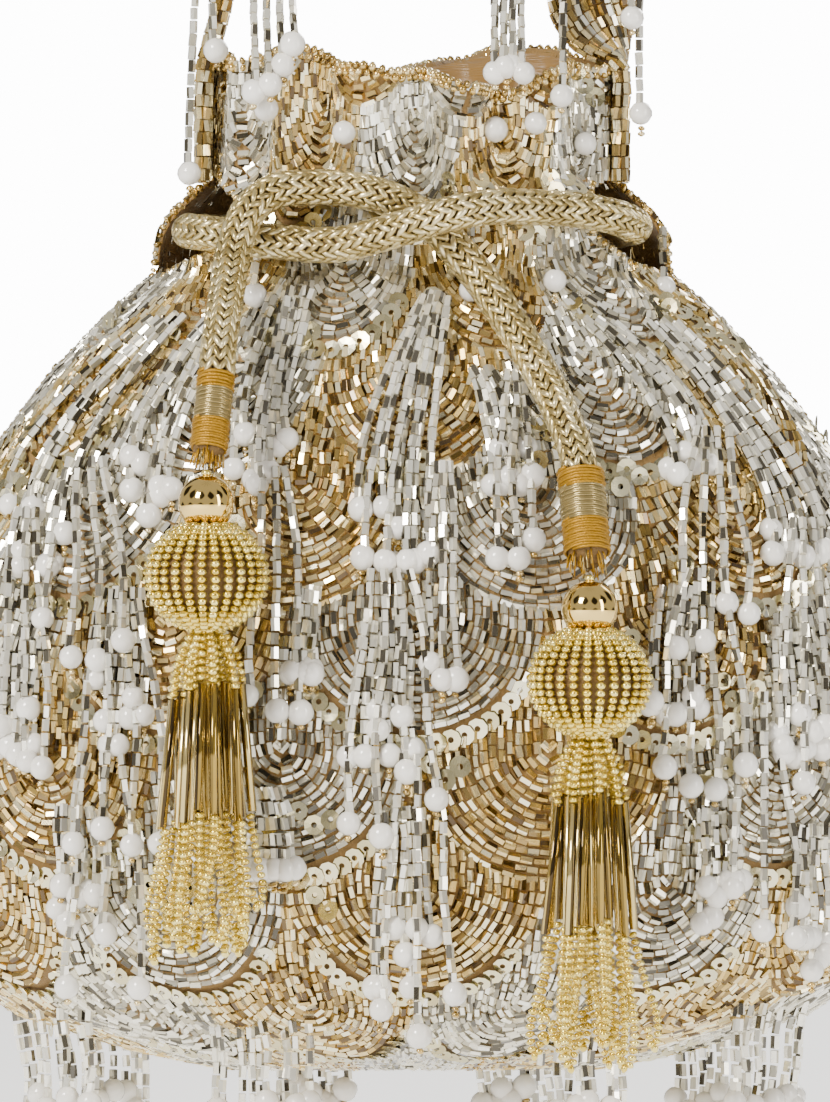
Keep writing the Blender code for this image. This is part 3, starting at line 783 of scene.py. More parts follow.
def to_cloth(across, run, side):
    """Flat cloth place to (turn, height), or None past a seam, the rim or a side opening."""
    turn = across / UNIT
    if not (-0.985 < turn < 0.985 and 0.6 * MM < run < PANEL_LENGTH - 1.2 * MM):
        return None
    height = height_at(run)
    limit = slit_edge(height) - 0.015 if side < 0 else 1.0
    return (turn, height) if abs(turn) < limit else None


def scale_arcs(centre_across, centre_run):
    """U-shaped rows of one scale as lists of flat points: (radius, points), cut where the row above covers it."""
    arcs = []
    radius, step = SCALE_RADIUS - 0.5 * ARC_PITCH, 0.5 * MM
    while radius > -0.4 * ARC_PITCH:
        radius = max(radius, 0.0)
        straight, turns = int(SCALE_RADIUS / step), int(math.pi * radius / step)
        path = [(-radius, (i - straight) * step) for i in range(straight)]
        path += [(-radius * math.cos(math.pi * i / turns), radius * math.sin(math.pi * i / turns))
                 for i in range(turns + 1) if turns]
        path += [(radius, -i * step) for i in range(1, straight + 1) if turns]
        points = []
        for x, y in path:
            if any(math.hypot(x - dx, y + SCALE_RADIUS) < SCALE_RADIUS for dx in (-SCALE_RADIUS, SCALE_RADIUS)):
                if len(points) > 4:
                    arcs.append((radius, points))
                points = []
            else:
                points.append((centre_across + x, centre_run + y))
        if len(points) > 4:
            arcs.append((radius, points))
        radius -= ARC_PITCH
    return arcs


def carried(points, side, lift=0.0):
    """Flat points on the panel, as runs of (place, away)."""
    runs, run = [], []
    for across, down in points:
        spot = to_cloth(across, down, side)
        if spot is None:
            if len(run) > 1:
                runs.append(run)
            run = []
            continue
        away = cloth_away(*spot, side)
        run.append((cloth_place(*spot, side) + away * lift, away))
    if len(run) > 1:
        runs.append(run)
    return runs


def beaded_scales(side):
    """Rows of gold beads, silver beads and sequins over one panel."""
    gold, silver, sequins = [], [], []
    pick = random.Random(5 if side < 0 else 8)
    for row in range(-1, ROWS):
        for column in range(-4, 5):
            shift = SCALE_RADIUS if row % 2 else 0.0
            centre = (2 * SCALE_RADIUS * column + shift + 0.6 * MM, row * SCALE_RADIUS + 9 * MM)
            bright = (column + (row // 2) + (1 if row % 2 else 0)) % 2 == 0
            sewn = pick.random() < 0.72
            for radius, points in scale_arcs(*centre):
                beads = silver if bright else gold
                lower = points[len(points) // 2][1] > centre[1]
                if sewn and lower and radius > SCALE_RADIUS - 2 * ARC_PITCH:
                    cut = len(points) // 5
                    if radius > SCALE_RADIUS - ARC_PITCH:
                        sequins += carried(points[cut:len(points) - cut], side)
                    beads += carried(points[:cut + 1], side) + carried(points[len(points) - cut - 1:], side)
                else:
                    beads += carried(points, side)
    return gold, silver, sequins


def loose_sequins(side, count):
    """Single sequins in small groups, where a row has come to its end."""
    pick, spots = random.Random(15 + side), []
    while len(spots) < count:
        across, run = (pick.random() * 2 - 1) * UNIT, PANEL_LENGTH * (0.05 + 0.9 * pick.random())
        for k in range(pick.choice((2, 3, 5))):
            spot = to_cloth(across + 3 * MM * k, run + 2 * MM * math.sin(2 * k + run * 900), side)
            if spot:
                away = cloth_away(*spot, side)
                tip = Vector((pick.random() - 0.5, 0.4 * (pick.random() - 0.5), pick.random() - 0.5)) * 0.5
                spots.append((cloth_place(*spot, side) + away * 0.5 * MM, (away + tip).normalized()))
    return [[spot] for spot in spots]


for word, side in (("front", -1), ("back", 1)):
    gold, silver, sequins = beaded_scales(side)
    tube = tube_bead if side < 0 else plain_tube
    for shade, rows, finish, seed in (("gold", gold, GOLD, 3), ("silver", silver, SILVER, 5)):
        ride(string(f"{word}_{shade}_beadwork", rows, tube, finish, BEAD_PITCH, BEAD_LIFT, loose=0.13, roll=ANY_ROLL,
                    seed=seed), "beaded_cloth")
    ride(string(f"{word}_sequins", sequins, sequin, SEQUIN, 2.75 * MM, 1.35 * MM, lean=0.22, loose=0.10, seed=9),
         "beaded_cloth")
    ride(string(f"{word}_loose_sequins", loose_sequins(side, 90), sequin, SEQUIN, lift=1.45 * MM, loose=0.1,
                vary=0.12, seed=17, on_points=True), "beaded_cloth")
print({k: v for k, v in TRIANGLES.items() if "front" in k})

# %% [markdown]
# ## Edges
# The rim, the side seams and the side openings are finished with a close row of small beads, which hides the
# raw edge of the cloth and gives the bag its knobbly outline.

# %% Rows along the edges
def edge_rows(side):
    rows = []
    for inset in (0.0, 1.4 * MM):
        turns = [k / 60 * 1.96 - 0.98 for k in range(61)]
        rows.append([(cloth_place(t, RIM - inset, side, 0.4 * MM), cloth_away(t, RIM - inset, side)) for t in turns])
    for end in (-1, 1):
        seam = []
        for k in range(90):
            height = RIM * (1 - k / 89)
            turn = end * (slit_edge(height) if side < 0 else 1.0) * 0.985
            seam.append((cloth_place(turn, height, side, 0.9 * MM), cloth_away(turn, height, side)))
        rows.append(seam)
    return rows


for word, side in (("front", -1), ("back", 1)):
    ride(string(f"{word}_edge_beads", edge_rows(side), seed_bead, GOLD, 1.75 * MM, 0.6 * MM, loose=0.5, vary=0.12,
                seed=21), "beaded_cloth")
print("edges", TRIANGLES["front_edge_beads"])

# %% [markdown]
# ## Hanging strands
# Each bunch of strands fans out from one spot of the cloth. A strand follows the belly as long as that bulges
# towards it and hangs straight once the bag falls away. It ends with a white pearl and a small stopper bead.
# The strands of a bunch have different lengths, so the pearls don't line up.

# %% Helpers for bunches of strands
STRAND_LIFT = 2.0 * MM  # from the bag's plain outer side to a strand's thread


def depth_at(x, height):
    half_width, half_depth = outline(max(height, 0.0))
    return half_depth * math.sqrt(max(0.0, 1 - (x / half_width) ** 2)) if height > 0 else 0.0


def strand_line(start, end, side, wander, lift):
    """A strand from (x, height) to (x, height) that lies on the bag's outer side."""
    steps = max(6, int((start[1] - end[1]) / 0.0022))
    deep, line = 0.0, []
    for k in range(steps + 1):
        share = k / steps
        x = start[0] + (end[0] - start[0]) * (1 - (1 - share) ** 1.7)
        x += wander * math.sin(math.pi * 2.2 * share + 40 * start[0]) * MM
        height = start[1] + (end[1] - start[1]) * share
        deep = max(deep, depth_at(x, height))
        line.append((Vector((x, side * (deep + lift), BASE_Z + height)), (0, side, 0)))
    return line


def strand_bunch(name, lines, node, pick, slot_name="clear_bead_strands", mix=0.22):
    """Tubes along the lines, and a pearl with a stopper under each."""
    tubes, bright, pearls, stops = [], [], [], []
    for line in lines:
        last, away = line[-1]
        slant = ((pick.random() - 0.5) * 1.2 * MM, 0, -PEARL_SIZE / 2 - 0.4 * MM)
        middle = last + Vector(slant)
        pearls.append([(middle, away)])
        drop = PEARL_SIZE / 2 + 0.5 * MM
        stops.append([(middle - Vector((slant[0] * -0.5, 0, drop + 1.1 * MM * k)), away)
                      for k in range(pick.choice((1, 1, 2)))])
        (bright if pick.random() < mix else tubes).append(line)
    seed = pick.randrange(1, 9000)
    pieces = []
    for word, group, finish in (("a", tubes, CLEAR), ("b", bright, SILVER)):
        if group:
            pieces.append(string(f"{name}_{word}", group, strand_bead, finish, 2.62 * MM, loose=0.08, roll=ANY_ROLL,
                                 seed=seed, vary=0.07))
    pieces.append(string(f"{name}_pearls", pearls, pearl, PEARL, seed=seed, vary=0.06, loose=0.5, on_points=True))
    pieces.append(string(f"{name}_stops", stops, seed_bead, GOLD, seed=seed, vary=0.1, loose=0.4, size=0.8,
                         on_points=True))
    piece = ride(merged(name, pieces), slot_name)
    if node:
        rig.replaces(piece, node)
    return piece


def node_ends(node):
    """The first and the last row of a fringe node: (left x, right x, mean y, height) each."""
    spots = np.array([v.co[:] for v in frame["nodes"][node].data.vertices])
    ends = []
    for z in (spots[:, 2].max(), spots[:, 2].min()):
        row = spots[abs(spots[:, 2] - z) < 0.4 * MM]
        ends.append((row[:, 0].min(), row[:, 0].max(), abs(row[:, 1]).mean(), z - BASE_Z))
    return ends


STRANDS = {"neck": 8, "middle": 7, "low": 7, "hem": 9}
made_strands = 0
for node in sorted(n for n in frame["nodes"] if "_fringe_" in n and not n.startswith("handle")):
    word, tier = node.split("_")[:2]
    side = -1 if word == "front" else 1
    top, bottom = node_ends(node)
    pick = random.Random(sum(ord(c) * (i + 1) for i, c in enumerate(node)))
    count = STRANDS[tier] - (2 if side > 0 and tier != "hem" else 0)
    lines = []
    for k in range(count):
        share = (k + 0.5) / count + (pick.random() - 0.5) * 0.12
        start = (top[0] + share * (top[1] - top[0]), top[3] - 1.5 * MM * pick.random())
        reach = bottom[3] + 6.4 * MM + (0.0 if tier == "hem" else 14 * MM * pick.random() ** 2)
        if tier == "hem":
            reach += 7 * MM * pick.random()
        end = (bottom[0] + share * (bottom[1] - bottom[0]), min(reach, start[1] - 12 * MM))
        lines.append(strand_line(start, end, side, 0.5 * pick.random(), STRAND_LIFT + 0.9 * MM * (k % 2)))
    strand_bunch(node + "_strands", lines, node, pick)
    made_strands += count
print(made_strands, "strands,", sum(v for k, v in TRIANGLES.items() if "strands" in k), "triangles")

# %% Long loose strands between the bunches
STREAMS = (  # x, top height, bottom height, width, how many
    (-0.0640, 0.120, 0.084, 0.016, 4), (-0.0570, 0.092, 0.048, 0.018, 4), (-0.0265, 0.118, 0.074, 0.011, 3),
    (0.0060, 0.119, 0.080, 0.006, 3), (-0.0040, 0.098, 0.050, 0.017, 4), (0.0200, 0.137, 0.104, 0.008, 3),
    (0.0590, 0.126, 0.084, 0.014, 4), (0.0570, 0.098, 0.056, 0.017, 4), (0.0690, 0.074, 0.028, 0.014, 3),
    (-0.0600, 0.062, 0.020, 0.017, 3), (0.0010, 0.062, 0.010, 0.015, 3), (-0.0760, 0.110, 0.060, 0.010, 3),
    (0.0770, 0.108, 0.060, 0.010, 3), (-0.0310, 0.164, 0.156, 0.002, 1), (0.0116, 0.166, 0.157, 0.002, 1),
    (0.0276, 0.168, 0.159, 0.002, 1), (0.0500, 0.166, 0.158, 0.002, 1))
pick, lines = random.Random(77), []
for x, top, bottom, width, count in STREAMS:
    for k in range(count):
        spread = ((k + 0.5) / count - 0.5) * width
        end = bottom + 13 * MM * pick.random() ** 2 * (count > 1)
        lines.append(strand_line((x + 0.6 * spread, top), (x + 1.3 * spread, end), -1, 0.7 * pick.random(),
                                 STRAND_LIFT + (1.6 + 0.9 * (k % 2)) * MM))
strand_bunch("front_loose_strands", lines, None, pick)
print(len(lines), "loose strands,", TRIANGLES["front_loose_strands"], "triangles")

# %% Strands that hang from the handle over the ruffle
def smooth_line(points, per_span):
    """Points on a Catmull-Rom curve through the given ones."""
    points = [Vector(p) for p in points]
    padded = [2 * points[0] - points[1], *points, 2 * points[-1] - points[-2]]
    line = []
    for i in range(1, len(padded) - 2):
        a, b, c, d = padded[i - 1:i + 3]
        for k in range(per_span):
            t = k / per_span
            line.append(0.5 * (2 * b + (c - a) * t + (2 * a - 5 * b + 4 * c - d) * t * t
                               + (3 * b - a - 3 * c + d) * t ** 3))
    return [*line, points[-1]]


# Where each group is sewn to the band's front edge: x, y, height
HANDLE_EDGE = {"left": (-0.0350, -0.0088, 0.2500), "right": (0.0283, -0.0060, 0.2480)}
for word, sewn in HANDLE_EDGE.items():
    node = f"handle_fringe_{word}"
    top, bottom = node_ends(node)
    pick = random.Random(31 if word == "left" else 47)
    count, lines = 4, []
    for k in range(count):
        share = (k + 0.5) / count
        first = Vector((sewn[0], sewn[1], BASE_Z + sewn[2] + 3.2 * MM * (1.5 - k)))
        start = Vector((top[0] + share * (top[1] - top[0]), -top[2], BASE_Z + top[3]))
        end = Vector((bottom[0] + share * (bottom[1] - bottom[0]), -bottom[2] - 0.6 * MM * (k % 2),
                      BASE_Z + bottom[3] + 7 * MM + 14 * MM * pick.random()))
        bow = first.lerp(start, 0.5) + Vector((0, -1 * MM, 0))
        line = smooth_line([first, bow, start, start.lerp(end, 0.5), end], 5)
        lines.append([(place, (0, -1, 0)) for place in line])
    strand_bunch(node + "_strands", lines, node, pick)
pick = random.Random(53)
side_lines = []
SIDE_STRANDS = (  # three places of each: x, y, height
    ((0.0408, 0.0030, 0.2440), (0.0432, -0.0070, 0.2300), (0.0436, -0.0120, 0.2115)),
    ((0.0412, 0.0030, 0.2480), (0.0448, -0.0080, 0.2280), (0.0452, -0.0125, 0.1925)),
    ((-0.0372, -0.0080, 0.2480), (-0.0425, -0.0120, 0.2200), (-0.0445, -0.0150, 0.1805)),
    ((-0.0366, -0.0086, 0.2440), (-0.0398, -0.0105, 0.2250), (-0.0395, -0.0125, 0.2050)),
    ((0.0296, -0.0052, 0.2420), (0.0300, -0.0120, 0.2240), (0.0298, -0.0235, 0.1955)))
for places in SIDE_STRANDS:
    line = smooth_line([(x, y, BASE_Z + height) for x, y, height in places], 8)
    side_lines.append([(place, (0, -1, 0)) for place in line])
strand_bunch("handle_side_strands", side_lines, None, pick, mix=0.5)
RUFFLE_PEARLS = (  # turn, height, share of the usual distance off the cloth
    (-0.44, 0.1895, 1.2), (-0.19, 0.1860, 1.0), (0.30, 0.1900, 1.0), (0.42, 0.1905, 1.0), (0.62, 0.1835, 1.0))
spots = []
for turn, height, size in RUFFLE_PEARLS:
    away = cloth_away(turn, height, -1)
    spots.append([(cloth_place(turn, height, -1) + away * (PEARL_SIZE / 2 + 1.2 * MM) * size, away)])
ride(string("ruffle_pearls", spots, pearl, PEARL, vary=0.08, seed=59, on_points=True), "clear_bead_strands")
print("handle strands ready")

# %% [markdown]
# ## Cords
# The drawstring and the tassel cord are tubular knits of metallic yarn. Each has a dark core and seven ribs
# of small slanted stitches in pairs, which make the rows of V shapes along a knit tube.

# %% Tubes along lines
def frames_along(line):
    """(place, side, other side) at each point, turned as little as possible from one to the next."""
    steps, last, across = [], len(line) - 1, None
    for i, place in enumerate(line):
        ahead = (line[min(i + 1, last)] - line[max(i - 1, 0)]).normalized()
        if across is None:
            across = ahead.orthogonal().normalized()
        across = (across - ahead * across.dot(ahead)).normalized()
        steps.append((place, across, ahead.cross(across)))
    return steps


def tube_along(name, line, radius, sides, finish):
    """A closed tube; radius is a number or a function of the share of the way along."""
    steps = frames_along([Vector(p) for p in line])
    points, faces = [], []
    for i, (place, u, v) in enumerate(steps):
        size = radius(i / (len(steps) - 1)) if callable(radius) else radius
        for k in range(sides):
            turn = 2 * math.pi * k / sides
            points.append(place + (u * math.cos(turn) + v * math.sin(turn)) * size)
    for i in range(len(steps) - 1):
        for k in range(sides):
            n, low, high = (k + 1) % sides, i * sides, (i + 1) * sides
            faces.append((low + k, low + n, high + n, high + k))
    faces += [tuple(range(sides))[::-1], tuple((len(steps) - 1) * sides + k for k in range(sides))]
    data = bpy.data.meshes.new(name)
    data.from_pydata(points, [], faces)
    data.materials.append(finish)
    data.shade_smooth()
    return note(show(name, data))


def length_of(line):
    return sum((b - a).length for a, b in zip(line, line[1:]))


CORD_RADIUS, WALES, STITCH_PITCH = 3.6 * MM, 7, 2.45 * MM
CORE_DEPTH, STITCH_DEPTH, STITCH_LEAN = 1.15 * MM, 0.62 * MM, 0.52  # under the outer side; lean in radians


def knit_cord(name, line, seed):
    steps = frames_along(line)
    pieces = [tube_along(name + "_core", line, CORD_RADIUS - CORE_DEPTH, 12, CORE)]
    for leg in (-1, 1):
        ribs = []
        for k in range(WALES):
            turn = 2 * math.pi * (k + 0.23 * leg) / WALES
            rib = []
            for place, u, v in steps:
                out = u * math.cos(turn) + v * math.sin(turn)
                rib.append((place + out * (CORD_RADIUS - STITCH_DEPTH), out))
            ribs.append(rib)
        pieces.append(string(f"{name}_leg{leg}", ribs, stitch, YARN, STITCH_PITCH, tilt=STITCH_LEAN * leg, loose=0.09,
                             seed=seed + leg))
    return merged(name, pieces)


def world_line(route, per_span=5):
    return smooth_line([(x, y, BASE_Z + height) for x, y, height in route], per_span)


print("cord helpers ready")

# %% The drawstring and the tassel cord
DRAWSTRING_FRONT = (  # x, y, height
    (-0.0416, 0.0008, 0.1665), (-0.0426, -0.0035, 0.1663), (-0.0443, -0.0112, 0.1662), (-0.0408, -0.0184, 0.1656),
    (-0.0340, -0.0220, 0.1646), (-0.0260, -0.0252, 0.1636), (-0.0150, -0.0282, 0.1630), (-0.0040, -0.0334, 0.1655),
    (0.0060, -0.0352, 0.1685), (0.0160, -0.0318, 0.1704), (0.0260, -0.0258, 0.1704), (0.0345, -0.0222, 0.1698),
    (0.0408, -0.0186, 0.1686), (0.0443, -0.0114, 0.1672), (0.0426, -0.0035, 0.1670), (0.0416, 0.0008, 0.1667))
TASSEL_CORD = (  # x, y, height
    (-0.0379, -0.0549, 0.1378), (-0.0376, -0.0526, 0.1426), (-0.0370, -0.0485, 0.1474), (-0.0362, -0.0418, 0.1536),
    (-0.0352, -0.0342, 0.1610), (-0.0325, -0.0300, 0.1690), (-0.0270, -0.0266, 0.1736), (-0.0190, -0.0252, 0.1744),
    (-0.0110, -0.0254, 0.1739), (-0.0030, -0.0254, 0.1715), (0.0040, -0.0256, 0.1672), (0.0090, -0.0272, 0.1618),
    (0.0140, -0.0304, 0.1555), (0.0190, -0.0347, 0.1480), (0.0235, -0.0392, 0.1405), (0.0272, -0.0441, 0.1338),
    (0.0300, -0.0492, 0.1272), (0.0318, -0.0526, 0.1226), (0.0326, -0.0542, 0.1190))
CASING_HEIGHT, CASING_START = 0.1665, math.radians(19)
casing_route = []
for k in range(25):
    turn = CASING_START + (math.pi - 2 * CASING_START) * k / 24
    casing_route.append((-0.0420 * math.cos(turn), 0.0143 * math.sin(turn), CASING_HEIGHT))

front_line, tassel_line = world_line(DRAWSTRING_FRONT), world_line(TASSEL_CORD)
casing_line = world_line(casing_route, 2)
front_knit = ride(knit_cord("drawstring_front_knit", front_line, 61), "metallic_cord")
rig.replaces(front_knit, "drawstring_front_run")
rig.cord(front_knit, exit=front_line[0], length=round(length_of(front_line), 3), diameter=2 * CORD_RADIUS,
        far_end="object", stiffness="medium", path=front_line)
casing_knit = ride(knit_cord("drawstring_casing_knit", casing_line, 67), "metallic_cord")
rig.replaces(casing_knit, "drawstring_casing_run")
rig.cord(casing_knit, exit=casing_line[0], length=round(length_of(casing_line), 3), diameter=2 * CORD_RADIUS,
        far_end="object", stiffness="medium", path=casing_line)
tassel_knit = ride(knit_cord("tassel_cord_knit", tassel_line, 71), "metallic_cord")
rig.replaces(tassel_knit, "tassel_cord")
print("cords", [round(length_of(l) * 1000) for l in (front_line, casing_line, tassel_line)], "mm")

# %% Whippings: thread wound round the cord's ends, with a frayed tuft
TASSELS = {  # x, pivot height, whipping's top place, its radius
    "left": (-0.0398, 0.1173, (-0.0380, -0.0552, 0.1370), 0.0037),
    "right": (0.0344, 0.0969, (0.0328, -0.0546, 0.1180), 0.0046)}
TASSEL_Y = -0.064
THREAD, TUFT_THREAD, TUFT_COUNT = 0.32 * MM, 0.19 * MM, 60  # the threads' radii, and how many stick out below
COIL_STEPS = 14


def whipping(word):
    x, pivot, top, radius = TASSELS[word]
    top = Vector((top[0], top[1], BASE_Z + top[2]))
    bottom = Vector((x, TASSEL_Y + 1.5 * MM, BASE_Z + pivot + 1.2 * MM))
    way = bottom - top
    wound = top + way * 0.80
    along = way.normalized()
    u = along.orthogonal().normalized()
    v = along.cross(u)
    pieces = [tube_along(f"whipping_core_{word}", [top, top.lerp(wound, 0.5), wound, bottom.lerp(wound, 0.45)],
                         lambda s: (radius - THREAD) * (0.92 if s < 0.8 else 0.55), 12, CORE)]
    for low, high, finish, thick in ((0.0, 0.22, SILK, 1.25), (0.22, 0.62, YARN, 0.9), (0.62, 1.0, SILK, 1.05)):
        start, end = top.lerp(wound, low), top.lerp(wound, high)
        turns = max(3, int((end - start).length / (1.55 * THREAD * thick)))
        coil = []
        for k in range(turns * COIL_STEPS + 1):
            turn = 2 * math.pi * k / COIL_STEPS
            out = (u * math.cos(turn) + v * math.sin(turn)) * (radius - THREAD * 0.9 + 0.12 * MM * math.sin(k * 0.7))
            coil.append(start.lerp(end, k / (turns * COIL_STEPS)) + out)
        pieces.append(tube_along(f"whipping_{word}_{low}", coil, THREAD * thick, 5, finish))
    pick = random.Random(83 if word == "left" else 89)
    for k in range(TUFT_COUNT):
        turn, size = pick.random() * 6.283, radius * (0.3 + 0.65 * pick.random())
        out = u * math.cos(turn) + v * math.sin(turn)
        start = wound - along * 0.5 * MM + out * size * 0.8
        length = way.length * 0.2 * (0.6 + 0.6 * pick.random())
        bend = Vector((pick.random() - 0.5, pick.random() - 0.5, 0)) * 1.8 * MM
        end = start + along * length + out * 0.5 * MM + bend
        pieces.append(tube_along(f"tuft_{word}_{k}", [start, start.lerp(end, 0.5) + bend * 0.4, end], TUFT_THREAD,
                                 4, SILK if k % 3 else YARN))
    piece = ride(merged(f"whipping_{word}_thread", pieces), "silk_thread")
    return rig.replaces(piece, f"whipping_{word}")


whippings = [whipping(word) for word in TASSELS]
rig.cord(tassel_knit, exit=tassel_line[0], length=round(length_of(tassel_line), 3), diameter=2 * CORD_RADIUS,
        far_end="fitting", stiffness="medium", path=tassel_line, with_pieces=whippings)
print("whippings ready")

# %% [markdown]
# ## Tassels
# Below each whipping hang a polished ball, a ball covered with rows of seed beads from pole to pole, and a
# skirt: strings of seed beads, then a long tube on each, then a curled end of seed beads. The polished ball
# swings on its own body and the beaded ball with its skirt turns below it.

# %% Balls and skirts
GOLD_BALL, BALL_WIDE, BALL_HIGH = 5.5 * MM, 12.0 * MM, 11.0 * MM
SEED_PITCH, SEED_DEPTH, BALL_CORE_DEPTH = 1.42 * MM, 0.55 * MM, 1.2 * MM  # depths under the ball's outer side
STRINGS, SKIRT_LENGTH = 27, 66.5 * MM


def ball_profile(wide, high, centre, first, step):
    """(radius, world z) pairs of a round ball from near its top to near its foot."""
    return [(wide * math.sin(math.radians(t)), centre + high * math.cos(math.radians(t)))
            for t in range(first, 180, step)]


def turned_shape(name, profile, sides, x, y, finish):
    """A closed shape turned about a vertical line, from (radius, world z) pairs."""
    shape = rod(name, profile, sides)
    shape.data.transform(Matrix.Translation((x, y, 0)))
    bpy.context.scene.collection.objects.link(shape)
    shape.data.materials.append(finish)
    shape.data.shade_smooth()
    return note(shape)


def seed_ball(word, x, centre):
    meridians = []
    for k in range(STRINGS):
        around = 2 * math.pi * k / STRINGS
        first = 17 if k % 2 == 0 else 30
        line = []
        for i in range(41):
            turn = math.radians(first + (180 - 2 * first) * i / 40)
            wide, high = (BALL_WIDE - SEED_DEPTH) * math.sin(turn), (BALL_HIGH - SEED_DEPTH) * math.cos(turn)
            out = Vector((math.sin(turn) * math.cos(around), math.sin(turn) * math.sin(around), math.cos(turn)))
            line.append((Vector((x + wide * math.cos(around), TASSEL_Y + wide * math.sin(around), centre + high)), out))
        meridians.append(line)
    beads = string(f"ball_seeds_{word}", meridians, seed_bead, SEED, SEED_PITCH, loose=0.10, vary=0.06, seed=101)
    profile = ball_profile(BALL_WIDE - BALL_CORE_DEPTH, BALL_HIGH - BALL_CORE_DEPTH, centre, 8, 12)
    core = turned_shape(f"ball_core_{word}", profile, 28, x, TASSEL_Y, CORE)
    return merged(f"beaded_ball_{word}_seeds", [core, beads])


def skirt(word, x, neck, pick):
    """Strings that hang in three rings: seeds, one long tube, and a curled end of seeds."""
    upper, tubes, lower = [], [], []
    for k in range(STRINGS):
        around = 2 * math.pi * (k + 0.7 * pick.random()) / STRINGS
        ring = (1.0, 0.72, 0.45)[k % 3]
        out = Vector((math.cos(around), math.sin(around), 0))
        axis = Vector((x, TASSEL_Y, 0))

        def at(radius, drop, shift=0.0):
            side = Vector((-out.y, out.x, 0)) * shift
            return axis + out * radius * ring + side + Vector((0, 0, neck - drop))

        start = 11.5 * MM + 4.0 * MM * pick.random()
        spread = [at(r * MM, d * start / 13) for r, d in ((2.2, 0.0), (3.4, 3.5), (5.8, 7.5), (6.9, 13.0))]
        upper.append([(place, out) for place in smooth_line(spread, 5)])
        top, bottom = at(6.8 * MM, start + 0.8 * MM), at(7.6 * MM + 2.0 * MM * pick.random(), start + 25.8 * MM)
        tubes.append([((top + bottom) / 2, out, top - bottom)])
        drop = start + 26.6 * MM
        longest = 17 * MM + 9.5 * MM * pick.random()
        curl = (pick.random() - 0.5) * 9 * MM
        flare = 3.6 * MM * pick.random()
        longest = min(longest, SKIRT_LENGTH - drop)
        curled = [at(radius * MM + flare * share, drop + longest * down, curl * bend) for radius, share, down, bend in (
            (8.5, 0.0, 0.0, 0.0), (9.0, 0.4, 0.35, 0.1), (9.6, 1.0, 0.75, 0.5), (9.2, 1.0, 0.97, 0.85),
            (8.4, 1.0, 1.0, 1.2), (7.6, 1.0, 0.84, 1.5))]
        lower.append([(place, out) for place in smooth_line(curled, 5)])
    return merged(f"tassel_skirt_{word}_beads", [
        string(f"skirt_upper_{word}", upper, seed_bead, SEED, SEED_PITCH, loose=0.12, vary=0.06, seed=111, size=0.92),
        string(f"skirt_tubes_{word}", tubes, long_tube, TUBE, roll=ANY_ROLL, loose=0.02, vary=0.02, seed=113, on_points=True),
        string(f"skirt_lower_{word}", lower, seed_bead, SEED, SEED_PITCH, loose=0.2, vary=0.08, seed=117, size=0.92)])


for word, (x, pivot, _, _) in TASSELS.items():
    ball = BASE_Z + pivot - GOLD_BALL
    profile = ball_profile(GOLD_BALL, GOLD_BALL, ball, 6, 8)
    gold_ball = turned_shape(f"gold_ball_{word}_round", profile, 36, x, TASSEL_Y, MIRROR_GOLD)
    crown = string(f"gold_ball_{word}_crown", [[(Vector((x, TASSEL_Y, ball + way * 5.9 * MM)), (0, -1, 0))]
                                               for way in (-1, 1)], seed_bead, SEED, on_points=True, seed=7)
    gold_ball = ride(merged(f"gold_ball_{word}_polished", [gold_ball, crown]), "polished_gold_ball", f"{word}_ball")
    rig.replaces(gold_ball, f"gold_ball_{word}")
    centre = ball - 14 * MM
    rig.replaces(ride(seed_ball(word, x, centre), "gold_seed_beads", f"{word}_tassel"), f"beaded_ball_{word}")
    neck = centre - BALL_HIGH + 3.5 * MM - 0.4 * MM
    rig.replaces(ride(skirt(word, x, neck, random.Random(7 if word == "left" else 19)), "gold_seed_beads",
                     f"{word}_tassel"), f"tassel_skirt_{word}")
print("tassels", {k: v for k, v in TRIANGLES.items() if "ball" in k or "skirt" in k})

# %% [markdown]
# ## The handle
# The handle is a beaded band. Its left leg is seen edge-on and the right one turns towards the front on its
# way up. Rows of tube beads run along both faces and the edges.

# %% The beaded band
PEG_FLAT, BAND_WIDTH, BAND_THICK = 0.0060, 17 * MM, 3.5 * MM
HANDLE_LINE = (  # x, height, turn of the band about its line
    (-0.0416, 0.1775, 0), (-0.0416, 0.1880, 0), (-0.0412, 0.1990, 0), (-0.0392, 0.2070, 0), (-0.0372, 0.2160, 0),
    (-0.0360, 0.2300, 0), (-0.0352, 0.2480, 0), (-0.0325, 0.2660, 0), (-0.0270, 0.2820, 0), (-0.0180, 0.2950, 0),
    (-PEG_FLAT, 0.3000 + BAND_THICK / 2, 0), (PEG_FLAT, 0.3000 + BAND_THICK / 2, 0), (0.0180, 0.2950, 8),
    (0.0270, 0.2820, 22), (0.0325, 0.2660, 40), (0.0350, 0.2480, 58), (0.0355, 0.2300, 70), (0.0352, 0.2150, 72),
    (0.0366, 0.2090, 60), (0.0396, 0.2030, 28), (0.0414, 0.1990, 0), (0.0416, 0.1880, 0), (0.0416, 0.1775, 0))
BEAD_HIGH = TUBE_WIDE / 2


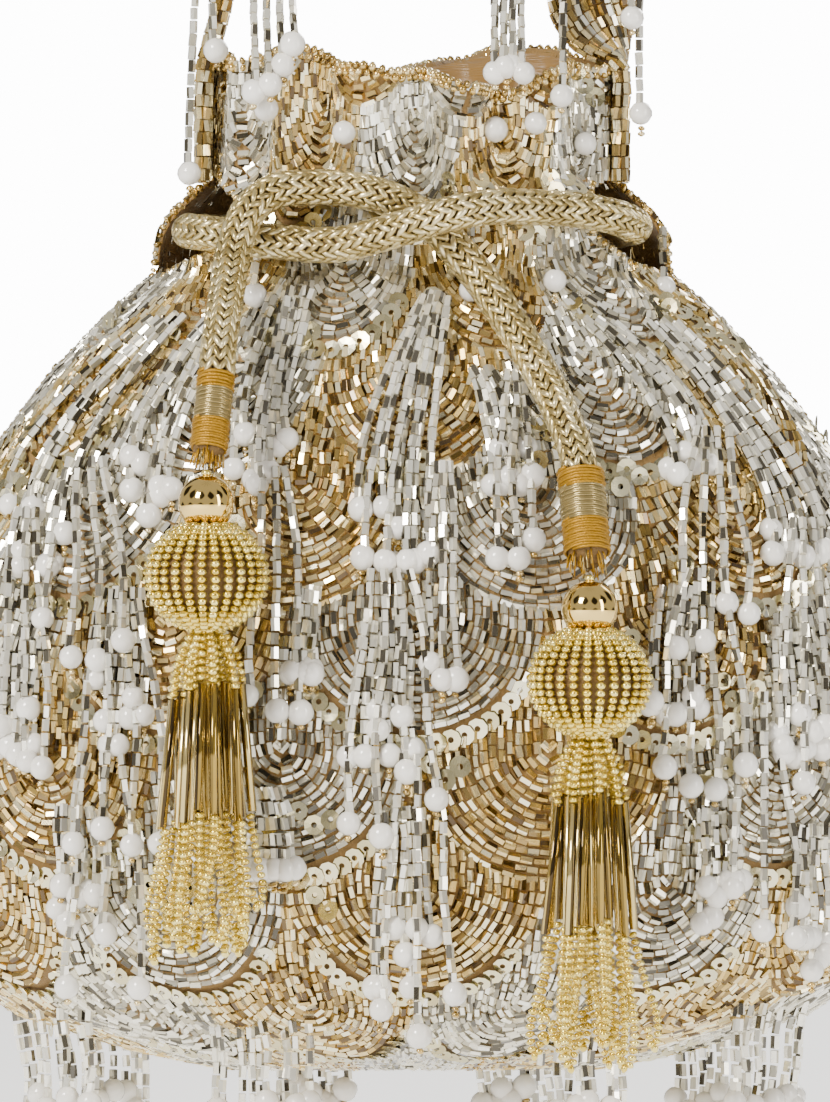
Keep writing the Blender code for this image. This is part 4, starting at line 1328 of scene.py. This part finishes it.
def band_frames():
    """(place, width way, thick way) along the handle, smoothed between the solid's own sections."""
    line = []
    for x, height, turn in HANDLE_LINE:
        line.append((x, turn * MM, BASE_Z + height))
    line = smooth_line(line, 6)
    steps, last = [], len(line) - 1
    for i, spot in enumerate(line):
        ahead = line[min(i + 1, last)] - line[max(i - 1, 0)]
        along = Vector((ahead.x, 0, ahead.z)).normalized()
        outward = Vector((-along.z, 0, along.x))
        turn = math.radians(spot.y / MM)
        width_way = Vector((0, 1, 0)) * math.cos(turn) + outward * math.sin(turn)
        steps.append((Vector((spot.x, 0, spot.z)), width_way, width_way.cross(along)))
    return steps


band = band_frames()
points, faces = [], []
half_wide, half_thick = BAND_WIDTH / 2 - BEAD_HIGH * 1.4, BAND_THICK / 2 - BEAD_HIGH * 1.3
for place, wide, thick in band:
    for a, b in ((1, 1), (1, -1), (-1, -1), (-1, 1)):
        points.append(place + wide * half_wide * a + thick * half_thick * b)
for i in range(len(band) - 1):
    for k in range(4):
        faces.append((4 * i + k, 4 * i + (k + 1) % 4, 4 * i + 4 + (k + 1) % 4, 4 * i + 4 + k))
faces += [(3, 2, 1, 0), tuple(4 * (len(band) - 1) + k for k in range(4))]
data = bpy.data.meshes.new("handle_core")
data.from_pydata(points, [], faces)
data.materials.append(CLOTH)
pieces = [note(show("handle_core", data))]
COLUMNS = 9
gold_rows, silver_rows = [], []
for k in range(COLUMNS):
    share = (2 * (k + 0.5) / COLUMNS - 1) * (BAND_WIDTH / 2 - BEAD_HIGH * 1.2)
    for face in (-1, 1):
        row = [(p + w * share + t * face * (BAND_THICK / 2 - BEAD_HIGH * 0.75), t * face) for p, w, t in band]
        (silver_rows if k in (2, 6) else gold_rows).append(row)
for end in (-1, 1):
    for shift in (-0.5, 0.5):
        gold_rows.append([(p + w * end * (BAND_WIDTH / 2 - BEAD_HIGH * 0.7) + t * shift * 1.5 * MM, w * end)
                          for p, w, t in band])
pieces.append(string("handle_gold", gold_rows, tube_bead, GOLD, 2.45 * MM, loose=0.13, roll=ANY_ROLL, seed=131))
pieces.append(string("handle_silver", silver_rows, tube_bead, SILVER, 2.45 * MM, loose=0.13, roll=ANY_ROLL, seed=137))
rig.replaces(ride(merged("handle_band_beads", pieces), "beaded_band"), "handle_band")
print("handle", TRIANGLES["handle_band_beads"])

# %% The finished sizes
visual_box = [list(map(float, corner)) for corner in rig.bounds()]
with open("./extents.json", "w") as out:
    json.dump({"cad": cad_box, "visual": visual_box}, out)
print("triangles", sum(TRIANGLES.values()), max(TRIANGLES.items(), key=lambda t: t[1]))
